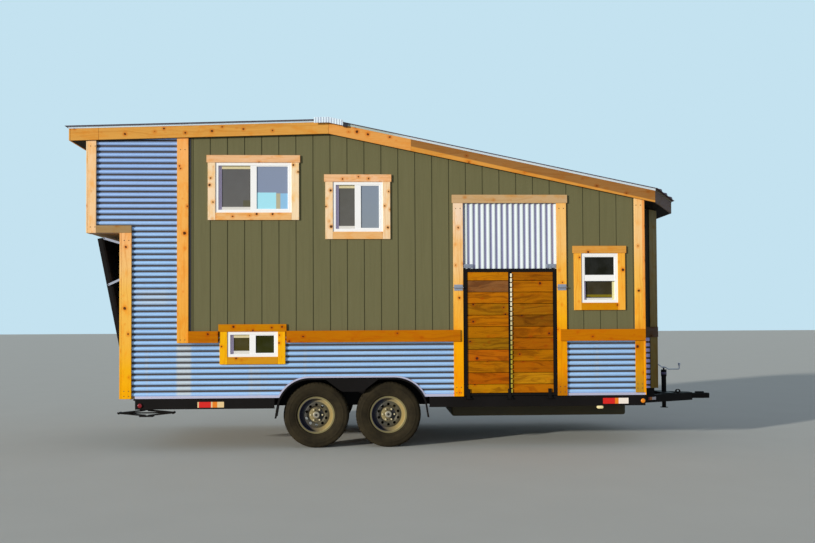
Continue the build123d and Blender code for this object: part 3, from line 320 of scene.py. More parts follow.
def apply(piece, kind, **settings):
    modifier = piece.modifiers.new(kind.lower(), kind)
    for name, value in settings.items():
        setattr(modifier, name, value)
    pickOnly(piece)
    bpy.ops.object.modifier_apply(modifier=modifier.name)


def ease(piece, width=0.0025, segments=2, angle=30):
    apply(piece, "BEVEL", width=width, segments=segments, limit_method="ANGLE",
          angle_limit=math.radians(angle))
    return piece


def cutBy(piece, point, normal, clear=False):
    # a line of edges where a plane crosses; with clear, what lies beyond it goes and the cut is closed
    with editing(piece, whole=True):
        bpy.ops.mesh.bisect(plane_co=point, plane_no=normal, use_fill=clear, clear_outer=clear)


def carve(piece, cutter):
    apply(piece, "BOOLEAN", operation="DIFFERENCE", object=cutter, solver="EXACT")
    bpy.data.objects.remove(cutter)


def smooth(piece, degrees=35):
    pickOnly(piece)
    bpy.ops.object.shade_smooth_by_angle(angle=math.radians(degrees))


def joined(name, pieces):
    letGo()
    for piece in pieces:
        piece.select_set(True)
    bpy.context.view_layer.objects.active = pieces[0]
    if len(pieces) > 1:
        bpy.ops.object.join()
    return finished(pieces[0], name)


def copied(piece, name, shift=(0, 0, 0), turn=None):
    # a copy with its own mesh, turned about the origin and then shifted
    made = piece.copy()
    made.data = piece.data.copy()
    bpy.context.scene.collection.objects.link(made)
    if turn:
        made.data.transform(turn)
    made.data.transform(Matrix.Translation(shift))
    return finished(made, name)


def wear(piece, material, body="house", replaces=()):
    piece.data.materials.clear()
    piece.data.materials.append(material)
    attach(piece, body)
    if replaces:
        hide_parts(*replaces)


# Camera, floor and light

view = {"place": (-0.4464, -11.4218, 1.4692), "turn": (91.301, 0.295, -2.171), "focalPixels": 850.4,
        "widthPixels": 815, "axisDrop": 33.7}
light = {"sky": 0.30, "skyTint": (0.86, 0.95, 1.12), "sun": 3.45, "sunTint": (1.0, 0.96, 0.88),
         "sunFrom": (-0.76, -0.56, 0.19), "sunSize": 2.5, "background": (196, 226, 240),
         "floor": (196, 196, 188), "floorSize": 300}


def makeCamera():
    camera = bpy.data.cameras.new("camera")
    camera.sensor_width = 36
    camera.lens = view["focalPixels"] / view["widthPixels"] * camera.sensor_width
    camera.shift_y = view["axisDrop"] / view["widthPixels"]
    holder = bpy.data.objects.new("camera", camera)
    holder.location = view["place"]
    holder.rotation_euler = [math.radians(v) for v in view["turn"]]
    bpy.context.scene.collection.objects.link(holder)
    bpy.context.scene.camera = holder


def makeLight():
    sun = bpy.data.lights.new("studioLamp", "SUN")
    sun.energy = light["sun"]
    sun.color = light["sunTint"]
    sun.angle = math.radians(light["sunSize"])
    holder = bpy.data.objects.new("studioLamp", sun)
    holder.rotation_euler = Vector(light["sunFrom"]).to_track_quat("Z", "Y").to_euler()
    bpy.context.scene.collection.objects.link(holder)
    world = bpy.data.worlds.new("paleRoom")
    bpy.context.scene.world = world
    world.use_nodes = True
    world.node_tree.nodes.clear()
    # the pale background is only seen, directly or in glass; the sky's own colour lights the part
    room = Graph(world.node_tree)
    path = room.node("ShaderNodeLightPath").socket.node
    direct, mirrored, through = [Wire(room, path.outputs[f"Is {ray} Ray"])
                                 for ray in ("Camera", "Glossy", "Transmission")]
    seen = direct.sum("MAXIMUM", direct.sum("MAXIMUM", direct, mirrored), through)
    lit = room.node("ShaderNodeBackground", None, {"Color": (*light["skyTint"], 1), "Strength": light["sky"]})
    shown = room.node("ShaderNodeBackground", None, {"Color": shade(*light["background"]), "Strength": 1})
    chosen = room.node("ShaderNodeMixShader", None, {0: seen, 1: lit, 2: shown})
    room.node("ShaderNodeOutputWorld", None, {0: chosen})


def makeFloor():
    letGo()
    bpy.ops.mesh.primitive_plane_add(size=light["floorSize"], location=(0, 0, 0))
    floor = finished(bpy.context.object, "studioFloor")
    paint = Finish("paleFloor", Roughness=0.9)
    speck = paint.noise(paint.place, 1.3, 3)
    paler = tuple(value + 6 for value in light["floor"])
    floor.data.materials.append(paint.paint(paint.mix(speck, light["floor"], paler)))


makeCamera()
makeLight()
makeFloor()
bpy.context.scene.view_settings.view_transform = "Standard"
print("stage ready")


# Finishes

# knots that stand out on the near side: station, height and radius
knots = (
    (-699, 3808, 15), (-745, 3806, 9), (-109, 3739, 13), (347, 3806, 10), (596, 3755, 12), (911, 3778, 13),
    (1283, 3803, 10), (1626, 3786, 8), (877, 3139, 15), (889, 3222, 9), (918, 2936, 9), (1869, 3380, 13),
    (1925, 3296, 9), (1434, 2794, 13), (1621, 2793, 12), (1150, 2765, 9), (2312, 3076, 14), (2317, 2643, 17),
    (2257, 2884, 8), (2765, 3219, 10), (2455, 3212, 9), (2644, 3240, 8), (2958, 2890, 9), (3006, 3063, 8),
    (2995, 2631, 13), (1696, 1258, 10), (1017, 1220, 9), (1160, 1452, 13), (1610, 1440, 9), (1732, 1450, 11),
    (1388, 1408, 9), (1190, 1080, 10), (5830, 2117, 17), (5406, 2333, 12), (5302, 2266, 8), (5759, 1691, 8),
    (-102, 2402, 13), (-116, 1677, 17), (584, 2565, 19), (524, 3365, 9), (535, 3335, 8), (3846, 1785, 12),
    (5093, 1965, 8), (6021, 1864, 14), (5997, 1190, 17), (861, 1367, 11), (986, 1363, 8), (1818, 1279, 11),
    (2630, 3775, 16), (2760, 3745, 13), (4016, 1705, 11), (4012, 1498, 12), (4055, 1057, 16),
    (4824, 1958, 14), (4571, 1106, 10), (4929, 1354, 11),
)


def makeBoardWood(name, streaks=0.0, darkShare=(0.72, 0.55, 0.36)):
    # each board carries its own grain and stain, so it looks like its own stick of timber; on some boards the
    # stain holds painted shade and light
    look = {"deep": (0.99, 0.75, 0.40), "pale": (1.1, 1.12, 1.32), "halo": (0.84, 0.48, 0.16),
            "core": (58, 32, 22), "cellsAlong": 2.6, "cellsAcross": 8.5, "chance": 0.62, "coreSoft": 0.004,
            "haloWide": 0.014, "haloSoft": 0.028}
    wood = Finish(name, specular=0.06)
    grain = wood.attribute("grain")
    stain = wood.attribute("stain", "Color")
    run, wide, deep = wood.split(grain)

    def tinted(share):
        return wood.mix(1.0, stain, [*share, 1], "MULTIPLY")

    drift = wood.noise(grain, (1.6, 6, 6)) - 0.5
    rings = wood.noise(wood.join(run * 0.8, wide * 60 + drift * 9, deep * 60), 1.0, 3, 0.55)
    fibre = wood.noise(grain, (10, 380, 380))
    patches = wood.noise(grain, (2.4, 9, 9), 4, 0.62)
    blush = wood.noise(grain, (5.5, 13, 13), 3, 0.6)
    # small knots by chance, one to some of the cells, and the photo's own by place
    cells = wood.vector("MULTIPLY", wood.join(run, wide, 0.0), (look["cellsAlong"], look["cellsAcross"], 0))
    knot = wood.node("ShaderNodeTexVoronoi", {"voronoi_dimensions": "2D"}, {"Vector": cells, "Scale": 1.0},
                     "Position")
    chance = wood.split(Wire(wood, knot.socket.node.outputs["Color"]))[0]
    away = wood.vector("MULTIPLY", wood.vector("SUBTRACT", cells, knot), (0.3, 1 / look["cellsAcross"], 0))
    rim = wood.vector("LENGTH", away, out="Value") - (chance - look["chance"]) * 0.026
    flat = wood.join(wood.x, 0.0, wood.z)
    for station, height, radius in knots:
        gap = wood.vector("DISTANCE", flat, (along(station), 0, height / 1000), "Value")
        rim = rim.sum("MINIMUM", rim, gap - radius / 1000)
    rim = rim + (wood.noise(wood.place, 70.0) - 0.5) * 0.016
    core = (0.5 - rim / look["coreSoft"]).clamped()
    halo = (0.5 - (rim - look["haloWide"]) / look["haloSoft"]).clamped()
    dark, pale = tinted(darkShare), tinted(look["pale"])
    colour = wood.mix(patches.ramped(0.5, 3.4) * 0.75, stain, pale)
    colour = wood.coat(
        colour, (blush.ramped(0.5, -4.5) * 0.8, tinted(look["deep"])),
        (rings.ramped(0.5, 4.5) * 0.5, dark))
    if streaks:
        band = wood.noise(wood.join(run * 2.2, wide * 17 + drift * 5, deep * 17), 1.0, 4, 0.65, 0.6)
        colour = wood.coat(
            colour, (band.ramped(0.49, 8) * streaks, dark), (band.ramped(0.42, -5) * streaks, pale))
    colour = wood.coat(
        colour, (fibre.ramped(0.52, 3) * 0.4, dark), (halo * 0.8, tinted(look["halo"])),
        (core * 0.92, look["core"]))
    return wood.paint(colour, 0.7 + fibre * 0.12, height=rings * 0.5 + fibre * 0.5, depth=0.0007)


def makeFramingWood():
    # hidden framing and inner faces, boarded lengthways
    wood = Finish("framingWood", specular=0.3)
    level = wood.z / 0.14
    shift = level.sum("FLOOR", level) * 3.7
    rings = wood.noise(wood.join(wood.x * 0.8 + shift, wood.y * 8, wood.z * 40), 1.0, 3)
    seam = wood.between(level % 1.0, 0.0, 0.015, 0.02)
    colour = wood.mix(rings, (206, 170, 120), (166, 124, 78))
    colour = wood.mix(seam * 0.8, colour, (80, 54, 34))
    return wood.paint(colour, 0.7, height=rings - seam, depth=0.001)


def makeCorrugated():
    # the bands' blue is painted sky reflection on the sheet's pale metal
    look = {"start": 0.690, "pitch": 0.0678, "band": (166, 206, 252), "pale": (182, 218, 255),
            "upper": (158, 186, 242), "bay": (206, 192, 255), "line": (60, 47, 38), "stain": (236, 226, 200)}
    sheet = Finish("corrugatedSheet", Metallic=0.25)
    # painted shade: a dark line under each crest
    phase = ((sheet.z - look["start"]) / look["pitch"]) % 1.0
    centred = abs(((phase + 0.5) % 1.0) - 0.5)
    line = ((0.205 - centred) / 0.045).clamped()
    cloud = sheet.noise(sheet.place, (0.9, 0.9, 1.6), 3)
    streak = sheet.noise(sheet.place, (9, 9, 0.6), 2)
    spangle = sheet.node("ShaderNodeTexVoronoi", None, {"Vector": sheet.place, "Scale": 90.0}, "Color")
    fleck = sheet.split(spangle)[0]
    colour = sheet.mix(cloud.ramped(0.35, 1.8), look["band"], look["pale"])
    colour = sheet.coat(
        colour, (sheet.z.ramped(2.4, 2) * 0.6, look["upper"]),
        ((streak - 0.45).clamped() * 0.5, (140, 168, 214)), (fleck * 0.06, (120, 140, 180)))
    wash = streak.ramped(0.6, 4) * sheet.between(sheet.z, 0.6, 1.1, 0.3)
    runs = sheet.between(sheet.x, along(500), along(640), 0.03) * sheet.between(sheet.z, 0.66, 1.22, 0.05)
    smudge = sheet.between(sheet.x, along(100), along(330), 0.15) * sheet.between(sheet.z, 1.74, 1.86, 0.07)
    wash = (wash * 0.4 + runs * 0.5 + smudge * cloud * 0.7).clamped()
    # stains, then the bay's flank painted lighter as painted reflected light, then the painted shade under
    # each crest
    colour = sheet.coat(
        colour, (wash, look["stain"]), ((sheet.x > along(6117)) * 0.8, look["bay"]),
        (line * (0.9 + cloud * 0.1), look["line"]))
    return sheet.paint(colour, 0.42 + fleck * 0.1 + line * 0.2, height=fleck * 0.4, depth=0.0004)


def makeSiding():
    look = {"firstGroove": along(679.8), "pitch": 0.2032, "half": 0.0052, "paint": (109, 105, 71),
            "pale": (116, 112, 78), "dark": (100, 96, 62), "groove": (78, 76, 52)}
    siding = Finish("oliveSiding", specular=0.25)
    offset = abs((siding.x - (look["firstGroove"] - look["pitch"] / 2)) % look["pitch"] - look["pitch"] / 2)
    flank = abs(siding.y) > 1.22
    # the grooves darkened: dirt and painted shade in them
    groove = ((look["half"] + 0.0015 - offset) / 0.002).clamped() * flank
    figure = siding.noise(siding.join(siding.x * 26, siding.y * 26, siding.z * 1.4), 1.0, 4, 0.6, 0.6)
    fibre = siding.noise(siding.join(siding.x * 150, siding.y * 150, siding.z * 6), 1.0, 3)
    cloud = siding.noise(siding.place, (1.1, 1.1, 0.7), 3)
    colour = siding.mix(cloud, look["dark"], look["pale"])
    colour = siding.coat(
        colour, (0.5, look["paint"]), (figure.ramped(0.5, 2.4) * 0.6, (94, 91, 60)),
        (figure.ramped(0.45, -2) * 0.4, (122, 119, 88)))
    # painted shade: the bay's flank, in the shade of the house, painted dark navy
    bay = (siding.x > along(6117)) * (abs(siding.y) < 0.8)
    colour = siding.coat(colour, (bay * 0.75, (26, 30, 42)), (groove * 0.35, look["groove"]))
    return siding.paint(colour, 0.68 + fibre * 0.12, height=figure * 0.6 + fibre * 0.4, depth=0.0012)


def makeSheetMetal(name, base, second, grime, grimeShare, roughness=0.4, metallic=0.3):
    metal = Finish(name, Metallic=metallic)
    cloud = metal.noise(metal.place, (2.1, 2.1, 5), 4, 0.6)
    fleck = metal.noise(metal.place, 60.0, 2)
    colour = metal.mix(cloud, base, second)
    colour = metal.mix(fleck.ramped(0.6, 4) * grimeShare, colour, grime)
    return metal.paint(colour, roughness + cloud * 0.2, height=cloud * 0.7 + fleck * 0.3, depth=0.0006)


def makeRidgeMetal():
    # white cap with pale blue folds across the ridge
    metal = Finish("ridgeMetal", Roughness=0.4)
    phase = abs((metal.x / 0.031) % 1.0 - 0.5)
    cloud = metal.noise(metal.place, (16, 2, 2), 3)
    fold = phase.ramped(0.3, 8) * cloud.ramped(0.3, 3)
    colour = metal.mix(cloud, (236, 250, 254), (222, 236, 252))
    colour = metal.mix(fold * 0.85, colour, (168, 178, 214))
    return metal.paint(colour, height=1.0 - fold, depth=0.001)


def makeDripMetal():
    metal = Finish("dripMetal", Metallic=0.1, Roughness=0.4)
    cloud = metal.noise(metal.place, (2.5, 2.5, 9), 3)
    colour = metal.mix(cloud, (236, 246, 250), (206, 222, 236))
    early = metal.between(metal.x, along(2480), along(3000), 0.3)
    colour = metal.coat(colour, (early * 0.7, (168, 182, 166)), (metal.x > along(6232), (134, 118, 92)))
    return metal.paint(colour, height=cloud, depth=0.0005)


def makeBlackSteel():
    look = {"paint": (21, 18, 17), "dust": (60, 50, 30), "pale": (34, 31, 32)}
    steel = Finish("blackSteel", specular=0.08)
    cloud = steel.noise(steel.place, 2.2, 4, 0.6)
    speck = steel.noise(steel.place, 48.0, 3)
    low = steel.z.ramped(0.52, -3.0)
    colour = steel.mix(cloud.ramped(0.4, 2) * 0.5, look["paint"], look["pale"])
    colour = steel.mix(low * speck.ramped(0.35, 2) * 0.5, colour, look["dust"])
    return steel.paint(colour, 0.42 + speck * 0.2, height=speck, depth=0.0004)


def makeVinyl(name, stained=False):
    # white, or in the tint that each stick of a deeper sash carries: painted shade and painted reflected
    # light
    vinyl = Finish(name, specular=0.4)
    cloud = vinyl.noise(vinyl.place, 5.0, 3)
    if stained:
        colour = vinyl.mix(cloud * 0.15, vinyl.attribute("stain", "Color"), (240, 240, 244))
    else:
        colour = vinyl.mix(cloud, (255, 255, 255), (250, 249, 248))
    return vinyl.paint(colour, 0.38 + cloud * 0.1, height=vinyl.noise(vinyl.place, 90.0), depth=0.0002)


# the panes' colours are painted: reflections in the glass and the room behind it
paneLooks = {
    # near the top and near the foot of each pane, rear or lower pane first
    "loft": (((98, 97, 98), (104, 103, 101)), ((139, 151, 176), (139, 153, 181))),
    "middle": (((94, 93, 88), (100, 98, 94)), ((137, 149, 167), (141, 152, 163))),
    "low": (((66, 59, 18), (74, 66, 22)), ((40, 42, 4), (50, 52, 8))),
    "front": (((48, 42, 26), (60, 52, 30)), ((22, 21, 12), (30, 29, 16))),
}


# patches painted on the near panes, reflections and what shows through them: heights, stations and tint
glimpses = (
    (2845, 3050, 1435, 1660, (172, 235, 252)), (2845, 3040, 1665, 1710, (188, 182, 152)),
    (2845, 3040, 1716, 1800, (148, 199, 236)), (2850, 2960, 1270, 1385, (98, 96, 78)),
    (1793, 1817, 5378, 5712, (128, 112, 24)), (1770, 1792, 5378, 5440, (34, 28, 30)),
)


def makeGlass():
    glass = Finish("windowGlass", specular=0.08, Roughness=0.12)
    colour = (100, 100, 100)
    for name, window in windows.items():
        left, right = along(window["rear"]), along(window["rear"] + window["width"])
        low, high = window["sill"] / 1000, (window["sill"] + window["height"]) / 1000
        inside = (glass.x > left) * (glass.x < right) * (glass.z > low) * (glass.z < high)
        second = glass.x > (left + right) / 2 if window["style"] == "slide" else glass.z > (low + high) / 2
        lower = ((high - glass.z) / (high - low)).clamped()
        tints = [glass.mix(lower, top, foot) for top, foot in paneLooks[name]]
        colour = glass.mix(inside, colour, glass.mix(second, *tints))
    cloud = glass.noise(glass.place, 7.0, 3)
    colour = glass.mix((cloud - 0.4).clamped() * 0.15, colour, (150, 155, 160))
    for low, high, start, end, tint in glimpses:
        inside = glass.between(glass.z, low / 1000, high / 1000, 0.006)
        inside = inside * glass.between(glass.x, along(start), along(end), 0.006)
        colour = glass.mix(inside * (glass.y < 0), colour, tint)
    return glass.paint(colour)


def makeRubber():
    rubber = Finish("tyreRubber", specular=0.12)
    dust = rubber.noise(rubber.place, 6.0, 4, 0.65)
    fine = rubber.noise(rubber.place, 130.0, 2)
    colour = rubber.mix(dust.ramped(0.3, 1.8), (35, 30, 21), (62, 54, 37))
    return rubber.paint(colour, 0.78 + fine * 0.15, height=fine, depth=0.0006)


def makeWheelSilver():
    # dusty discs and bright nuts, with painted light: barrels shaded at the rear and lit at the front, hubs
    # lit at the rear and shaded at the front
    look = {"disc": (88, 80, 58), "discDust": (64, 58, 42), "discShade": (54, 52, 56), "lip": (118, 108, 66),
            "shadedWall": (50, 47, 62), "litWall": (186, 168, 118), "litHub": (156, 140, 96),
            "shadedHub": (40, 35, 34), "nut": (214, 200, 160), "cap": (152, 146, 130), "capDip": (40, 34, 30)}
    wheel = {"stations": (2128, 2992), "radius": 0.391, "lipEdge": 0.203, "discEdge": 0.158, "hubEdge": 0.088,
             "capEdge": 0.038, "dipEdge": 0.016, "nutCircle": 0.07, "nutReach": 0.014, "nutFace": 1.142}
    silver = Finish("wheelSilver", Metallic=0.15)
    dust = silver.noise(silver.place, 9.0, 4, 0.6)
    flat = silver.join(silver.x, 0.0, silver.z)
    rear, front = [along(station) for station in wheel["stations"]]
    gaps = [silver.vector("DISTANCE", flat, (x, 0, wheel["radius"]), "Value") for x in (rear, front)]
    radius = gaps[0].sum("MINIMUM", *gaps)
    half = (front - rear) / 2
    offset = (silver.x - rear + half) % (2 * half) - half
    nuts = (abs(silver.y) > wheel["nutFace"]) * (abs(radius - wheel["nutCircle"]) < wheel["nutReach"])
    # painted light and shade, by the rear and front half of each wheel; the disc painted shaded at the rear
    wall = silver.mix((offset * 5 + 0.4).clamped(), look["shadedWall"], look["litWall"])
    hub = silver.mix((offset * 9 + 0.6).clamped(), look["litHub"], look["shadedHub"])
    colour = silver.mix(dust.ramped(0.35, 1.8), look["disc"], look["discDust"])
    colour = silver.coat(
        colour, ((0.35 - offset * 5).clamped() * 0.7, look["discShade"]),
        (radius > wheel["discEdge"], wall), ((radius > wheel["lipEdge"]) * 0.8, look["lip"]),
        (radius < wheel["hubEdge"], hub), (nuts, look["nut"]), (radius < wheel["capEdge"], look["cap"]),
        (radius < wheel["dipEdge"], look["capDip"]))
    return silver.paint(colour, 0.4 + dust * 0.2, height=silver.noise(silver.place, 140.0), depth=0.0003)


def makePlain(name, base, second, roughness=0.5, scale=12.0, **fixed):
    plain = Finish(name, **fixed)
    cloud = plain.noise(plain.place, scale, 3)
    return plain.paint(plain.mix(cloud, base, second), roughness + cloud * 0.1,
                       height=cloud, depth=0.0004)


boardWood = makeBoardWood("trimTimber")
deckWood = makeBoardWood("deckTimber", streaks=0.8, darkShare=(0.5, 0.44, 0.46))
framingWood = makeFramingWood()
corrugatedSheet = makeCorrugated()
oliveSiding = makeSiding()
paleFlashing = makeSheetMetal("paleFlashing", (204, 202, 228), (188, 186, 206), (150, 138, 128), 0.4)
# painted shade: the roofing is painted dark purple-brown, as its edge looks in shadow
roofSheet = makeSheetMetal("roofSheet", (98, 78, 96), (84, 64, 76), (66, 48, 50), 0.5)
ridgeMetal = makeRidgeMetal()
dripMetal = makeDripMetal()
galvanised = makeSheetMetal("galvanisedSteel", (178, 182, 196), (140, 144, 160), (150, 140, 120), 0.3,
                            roughness=0.35, metallic=0.6)
blackSteel = makeBlackSteel()
whiteVinyl = makeVinyl("whiteVinyl")
sashVinyl = makeVinyl("sashVinyl", stained=True)
windowGlass = makeGlass()
tyreRubber = makeRubber()
wheelSilver = makeWheelSilver()
tankPlastic = makePlain("tankPlastic", (52, 46, 24), (74, 64, 34), 0.6, 3.0)
# painted shade: the roof's underside painted near black
soffitBoard = makePlain("soffitBoard", (34, 27, 18), (24, 19, 14), 0.75, 3.0, specular=0.2)
# near black: the foam closures under the roof, and the painted shadow strips beside the second posts
darkChannel = makePlain("darkChannel", (30, 26, 36), (44, 38, 44), 0.5)
print("finishes ready")

dress(framingWood, "floor", "loft_floor", "near_walls", "near_wall_over_door", "far_wall",
      "loft_side_walls", "rear_wall_sides", "rear_wall_lintel", "loft_rear_wall", "front_walls",
      "bay_side_walls", "bay_front_wall")
dress(soffitBoard, "roof_deck_rear", "roof_deck_front")
dress(corrugatedSheet, "corrugated_siding")
dress(oliveSiding, "grooved_siding")
dress(paleFlashing, "flashings")
dress(dripMetal, "drip_edge")
dress(roofSheet, "roofing")
dress(ridgeMetal, "ridge_cap")
dress(galvanised, "deck_latches", "deck_stays", "jack_crank")
dress(blackSteel, "frame_rails", "crossmembers", "fenders", "axles", "leaf_springs", "tongue", "coupler",
      "tongue_jack", "jack_leg", "stabiliser_jacks", "bay_base", "side_deck_frame", "side_hinges",
      "rear_deck_frame", "rear_hinges")
dress(whiteVinyl, "window_frames")
dress(tankPlastic, "under_tank")
for wheel in ("rear_near", "rear_far", "front_near", "front_far"):
    dress(wheelSilver, "rim_" + wheel)
    dress(tyreRubber, "tyre_" + wheel)


awning = {"rear": 3895, "front": 5026, "low": 2137, "high": 2925, "firstCrest": 3941, "pitch": 67.8,
          "wave": 8, "middle": 1242, "back": 1211, "steps": 204}


def makeAwningFinish():
    # phases run from one crest to the next; the flank after each crest, turned from the light, is painted
    # shade
    look = {"shadedFlank": (156, 150, 200), "shadedFlankStart": 0.16, "shadedFlankEnd": 0.5}
    sheet = Finish("awningSheet", specular=0.1)
    streak = sheet.noise(sheet.place, (14, 14, 0.8), 3)
    cloud = sheet.noise(sheet.place, (3, 3, 2), 3)
    colour = sheet.mix(streak.ramped(0.5, 2.2) * 0.5, (212, 222, 224), (187, 213, 207))
    colour = sheet.mix(cloud.ramped(0.55, 3) * 0.25, colour, (158, 166, 190))
    phase = ((sheet.x - along(awning["firstCrest"])) / (awning["pitch"] / 1000)) % 1.0
    shadedFlank = sheet.between(phase, look["shadedFlankStart"], look["shadedFlankEnd"], 0.1)
    colour = sheet.mix(shadedFlank * 0.8, colour, look["shadedFlank"])
    return sheet.paint(colour, 0.35 + streak * 0.2, height=streak, depth=0.0004)


def makeAwning():
    # a corrugated sheet on its backing board, drawn in plan and pulled up
    run = awning["front"] - awning["rear"]
    points = [place(awning["rear"], -awning["back"], awning["low"])]
    for n in range(awning["steps"] + 1):
        station = awning["rear"] + run * n / awning["steps"]
        crest = math.cos(math.tau * (station - awning["firstCrest"]) / awning["pitch"])
        points.append(place(station, -awning["middle"] - awning["wave"] * crest, awning["low"]))
    points.append(place(awning["front"], -awning["back"], awning["low"]))
    made = outlined(points)
    rise = (0, 0, (awning["high"] - awning["low"]) / 1000)
    with editing(made, "VERT", whole=True):
        bpy.ops.mesh.edge_face_add()
        bpy.ops.mesh.extrude_region_move(TRANSFORM_OT_translate={"value": rise})
        bpy.ops.mesh.select_all(action="SELECT")
        bpy.ops.mesh.normals_make_consistent(inside=False)
    smooth(made, 40)
    wear(finished(made, "awningPanel"), awningSheet, replaces=["awning_panel"])


awningSheet = makeAwningFinish()
makeAwning()
print("awning ready")


# Trim boards

stainsAndShades = {
    "upperSide": (254, 210, 168), "upperHead": (230, 180, 132), "upperApron": (231, 178, 116),
    "lowSide": (253, 176, 12), "lowHead": (192, 122, 3), "lowApron": (206, 142, 26),
    "frontSide": (251, 172, 60), "frontHead": (212, 150, 66), "frontApron": (204, 132, 4),
    # the loft sill's and the bay band's colours are painted shade: the sill lies under the loft, the band on
    # the bay's shaded flank
    "loftPost": (252, 200, 148), "loftSill": (162, 131, 88), "band": (184, 107, 1), "bayBand": (99, 82, 69),
    "doorHeader": (192, 156, 110), "rearFascia": (212, 152, 70), "frontFascia": (224, 155, 77),
    # the front fascia's two colours are painted light: the roofing's shadow above, sunlight on a strip below
    "darkFascia": (160, 112, 60), "paleFascia": (226, 158, 70), "chamferFascia": (124, 111, 106),
    # posts, by height
    "tailPost": ((700, (250, 165, 2)), (960, (254, 171, 22)), (1260, (252, 175, 62)), (1900, (254, 181, 84)),
                 (2150, (255, 186, 112)), (2500, (240, 176, 110))),
    "secondPost": ((1300, (233, 162, 54)), (2000, (244, 166, 74)), (3000, (244, 170, 84)),
                   (3500, (241, 168, 92))),
    "frontPost": ((680, (176, 128, 30)), (940, (214, 141, 6)), (1240, (200, 126, 5)), (1540, (251, 170, 52)),
                  (1840, (248, 179, 70)), (2130, (255, 182, 88)), (2500, (252, 190, 124))),
    "lip": ((900, (240, 158, 6)), (1600, (238, 160, 50)), (2400, (236, 160, 84))),
    "doorPostRear": ((900, (250, 159, 2)), (1240, (251, 165, 4)), (1560, (248, 173, 58)),
                     (1840, (249, 180, 76)), (2140, (252, 195, 130)), (2430, (253, 194, 130)),
                     (2760, (255, 211, 178))),
    "doorPostFront": ((680, (180, 110, 6)), (940, (227, 146, 1)), (1240, (222, 144, 2)),
                      (1540, (253, 167, 20)), (1840, (254, 171, 48)), (2140, (252, 175, 70)),
                      (2430, (254, 184, 106))),
    # the bay's posts are painted in shade
    "bayPost": ((700, (130, 108, 54)), (2600, (160, 150, 112))),
}
woodLift = (1.15, 1.18, 1.22)  # what the grain takes away in red, green and blue


def stainAndShadeAt(stain, height):
    # a stain is one colour, or a colour for each of some rising heights
    if not isinstance(stain[0], tuple):
        return shade(*stain)
    height = min(max(height, stain[0][0]), stain[-1][0])
    for (low, lowTint), (high, highTint) in zip(stain, stain[1:]):
        if height <= high:
            share = (height - low) / (high - low)
            return [a + (b - a) * share for a, b in zip(shade(*lowTint), shade(*highTint))]


def layGrain(piece, stain, lengthways=None):
    # grain and stain as attributes, the stain holding painted shade and light on some boards; the grain runs
    # along the longest side, if no axis is given
    dice = random.Random(piece.name)
    start = [dice.uniform(0, 60) for _ in range(3)]
    tone = dice.uniform(0.96, 1.04)
    points = [vertex.co for vertex in piece.data.vertices]
    if lengthways is None:
        spans = [max(places) - min(places) for places in zip(*points)]
        lengthways = spans.index(max(spans))
    order = ((0, 2, 1), (1, 2, 0), (2, 0, 1))[lengthways]
    grain = piece.data.attributes.new("grain", "FLOAT_VECTOR", "POINT")
    places = [point[axis] + shift for point in points for axis, shift in zip(order, start)]
    grain.data.foreach_set("vector", places)
    colours = []
    for point in points:
        tint = stainAndShadeAt(stain, point.z * 1000)
        colours += [min(part * lift * tone, 1) for part, lift in zip(tint, woodLift)] + [1]
    piece.data.attributes.new("stain", "FLOAT_COLOR", "POINT").data.foreach_set("color", colours)
    return piece


def board(name, corners, stain, underRoof=False, notches=(), easing=0.0025):
    made = block(name, corners)
    station = corners[0][0]
    if underRoof:
        steep = -ridge["rearSlope"] if station < ridge["station"] else ridge["frontSlope"]
        cutBy(made, place(station, 0, underside(station)), (steep, 0, 1), clear=True)
    for notch in notches:
        carve(made, block("notchCutter", notch))
    ease(made, easing)
    if isinstance(stain[0], tuple):
        for height, tint in stain:
            cutBy(made, (0, 0, height / 1000), (0, 0, 1))
    return layGrain(made, stain)


def trim(name, boards, node):
    wear(joined(name, boards), boardWood, replaces=[node])


def makeCornerBoards():
    face, out = house["shellHalf"], house["shellHalf"] + house["trimDepth"]
    foot, sill, roof, low = house["frameTop"], house["loftUnderside"], house["aboveRoof"], house["bayFloor"]
    wing, loft, front = house["wingRear"], house["loftRear"], house["frameLength"]
    nose, flank, raised = house["bayFront"], house["bayHalf"], house["frameTop"] + 30
    # name, its two corners on one side, stain (painted shade on the loft sill and the bay's posts), and
    # whether the roof cuts its top
    rows = (
        ("tailPost", (wing, wing + 115, face, out, foot, sill), "tailPost", False),
        ("tailEnd", (wing - 24, wing - 1, 1131, out, foot, sill), "tailPost", False),
        ("loftPost", (loft, loft + 96, face, out, sill, roof), "loftPost", True),
        ("loftEnd", (loft - 20, loft - 1, 1116, out, sill, roof), "loftPost", True),
        ("loftSill", (loft + 97, wing + 115, face, out, sill + 1, sill + 89), "loftSill", False),
        ("secondPost", (494, 628, face, out, house["bandBottom"], roof), "secondPost", True),
        ("frontPost", (front - 121, front - 24, face, out, raised, roof), "frontPost", True),
        ("frontLip", (front - 23, front, face, out, raised, roof), "lip", True),
        ("frontEnd", (front + 1, front + 5, 1135, out - 1, foot, roof), "lip", True),
        ("bayPost", (nose - 75, nose, flank, flank + 20, low, roof), "bayPost", True),
        ("bayEnd", (nose + 1, nose + 20, flank - 75, flank + 20, low, roof), "bayPost", True),
    )
    for side, sideName in sides:
        boards = [board(f"{name}_{sideName}", sideBlock(side, *span), stainsAndShades[stain], underRoof)
                  for name, span, stain, underRoof in rows]
        trim("cornerBoards_" + sideName, boards, "corner_posts")


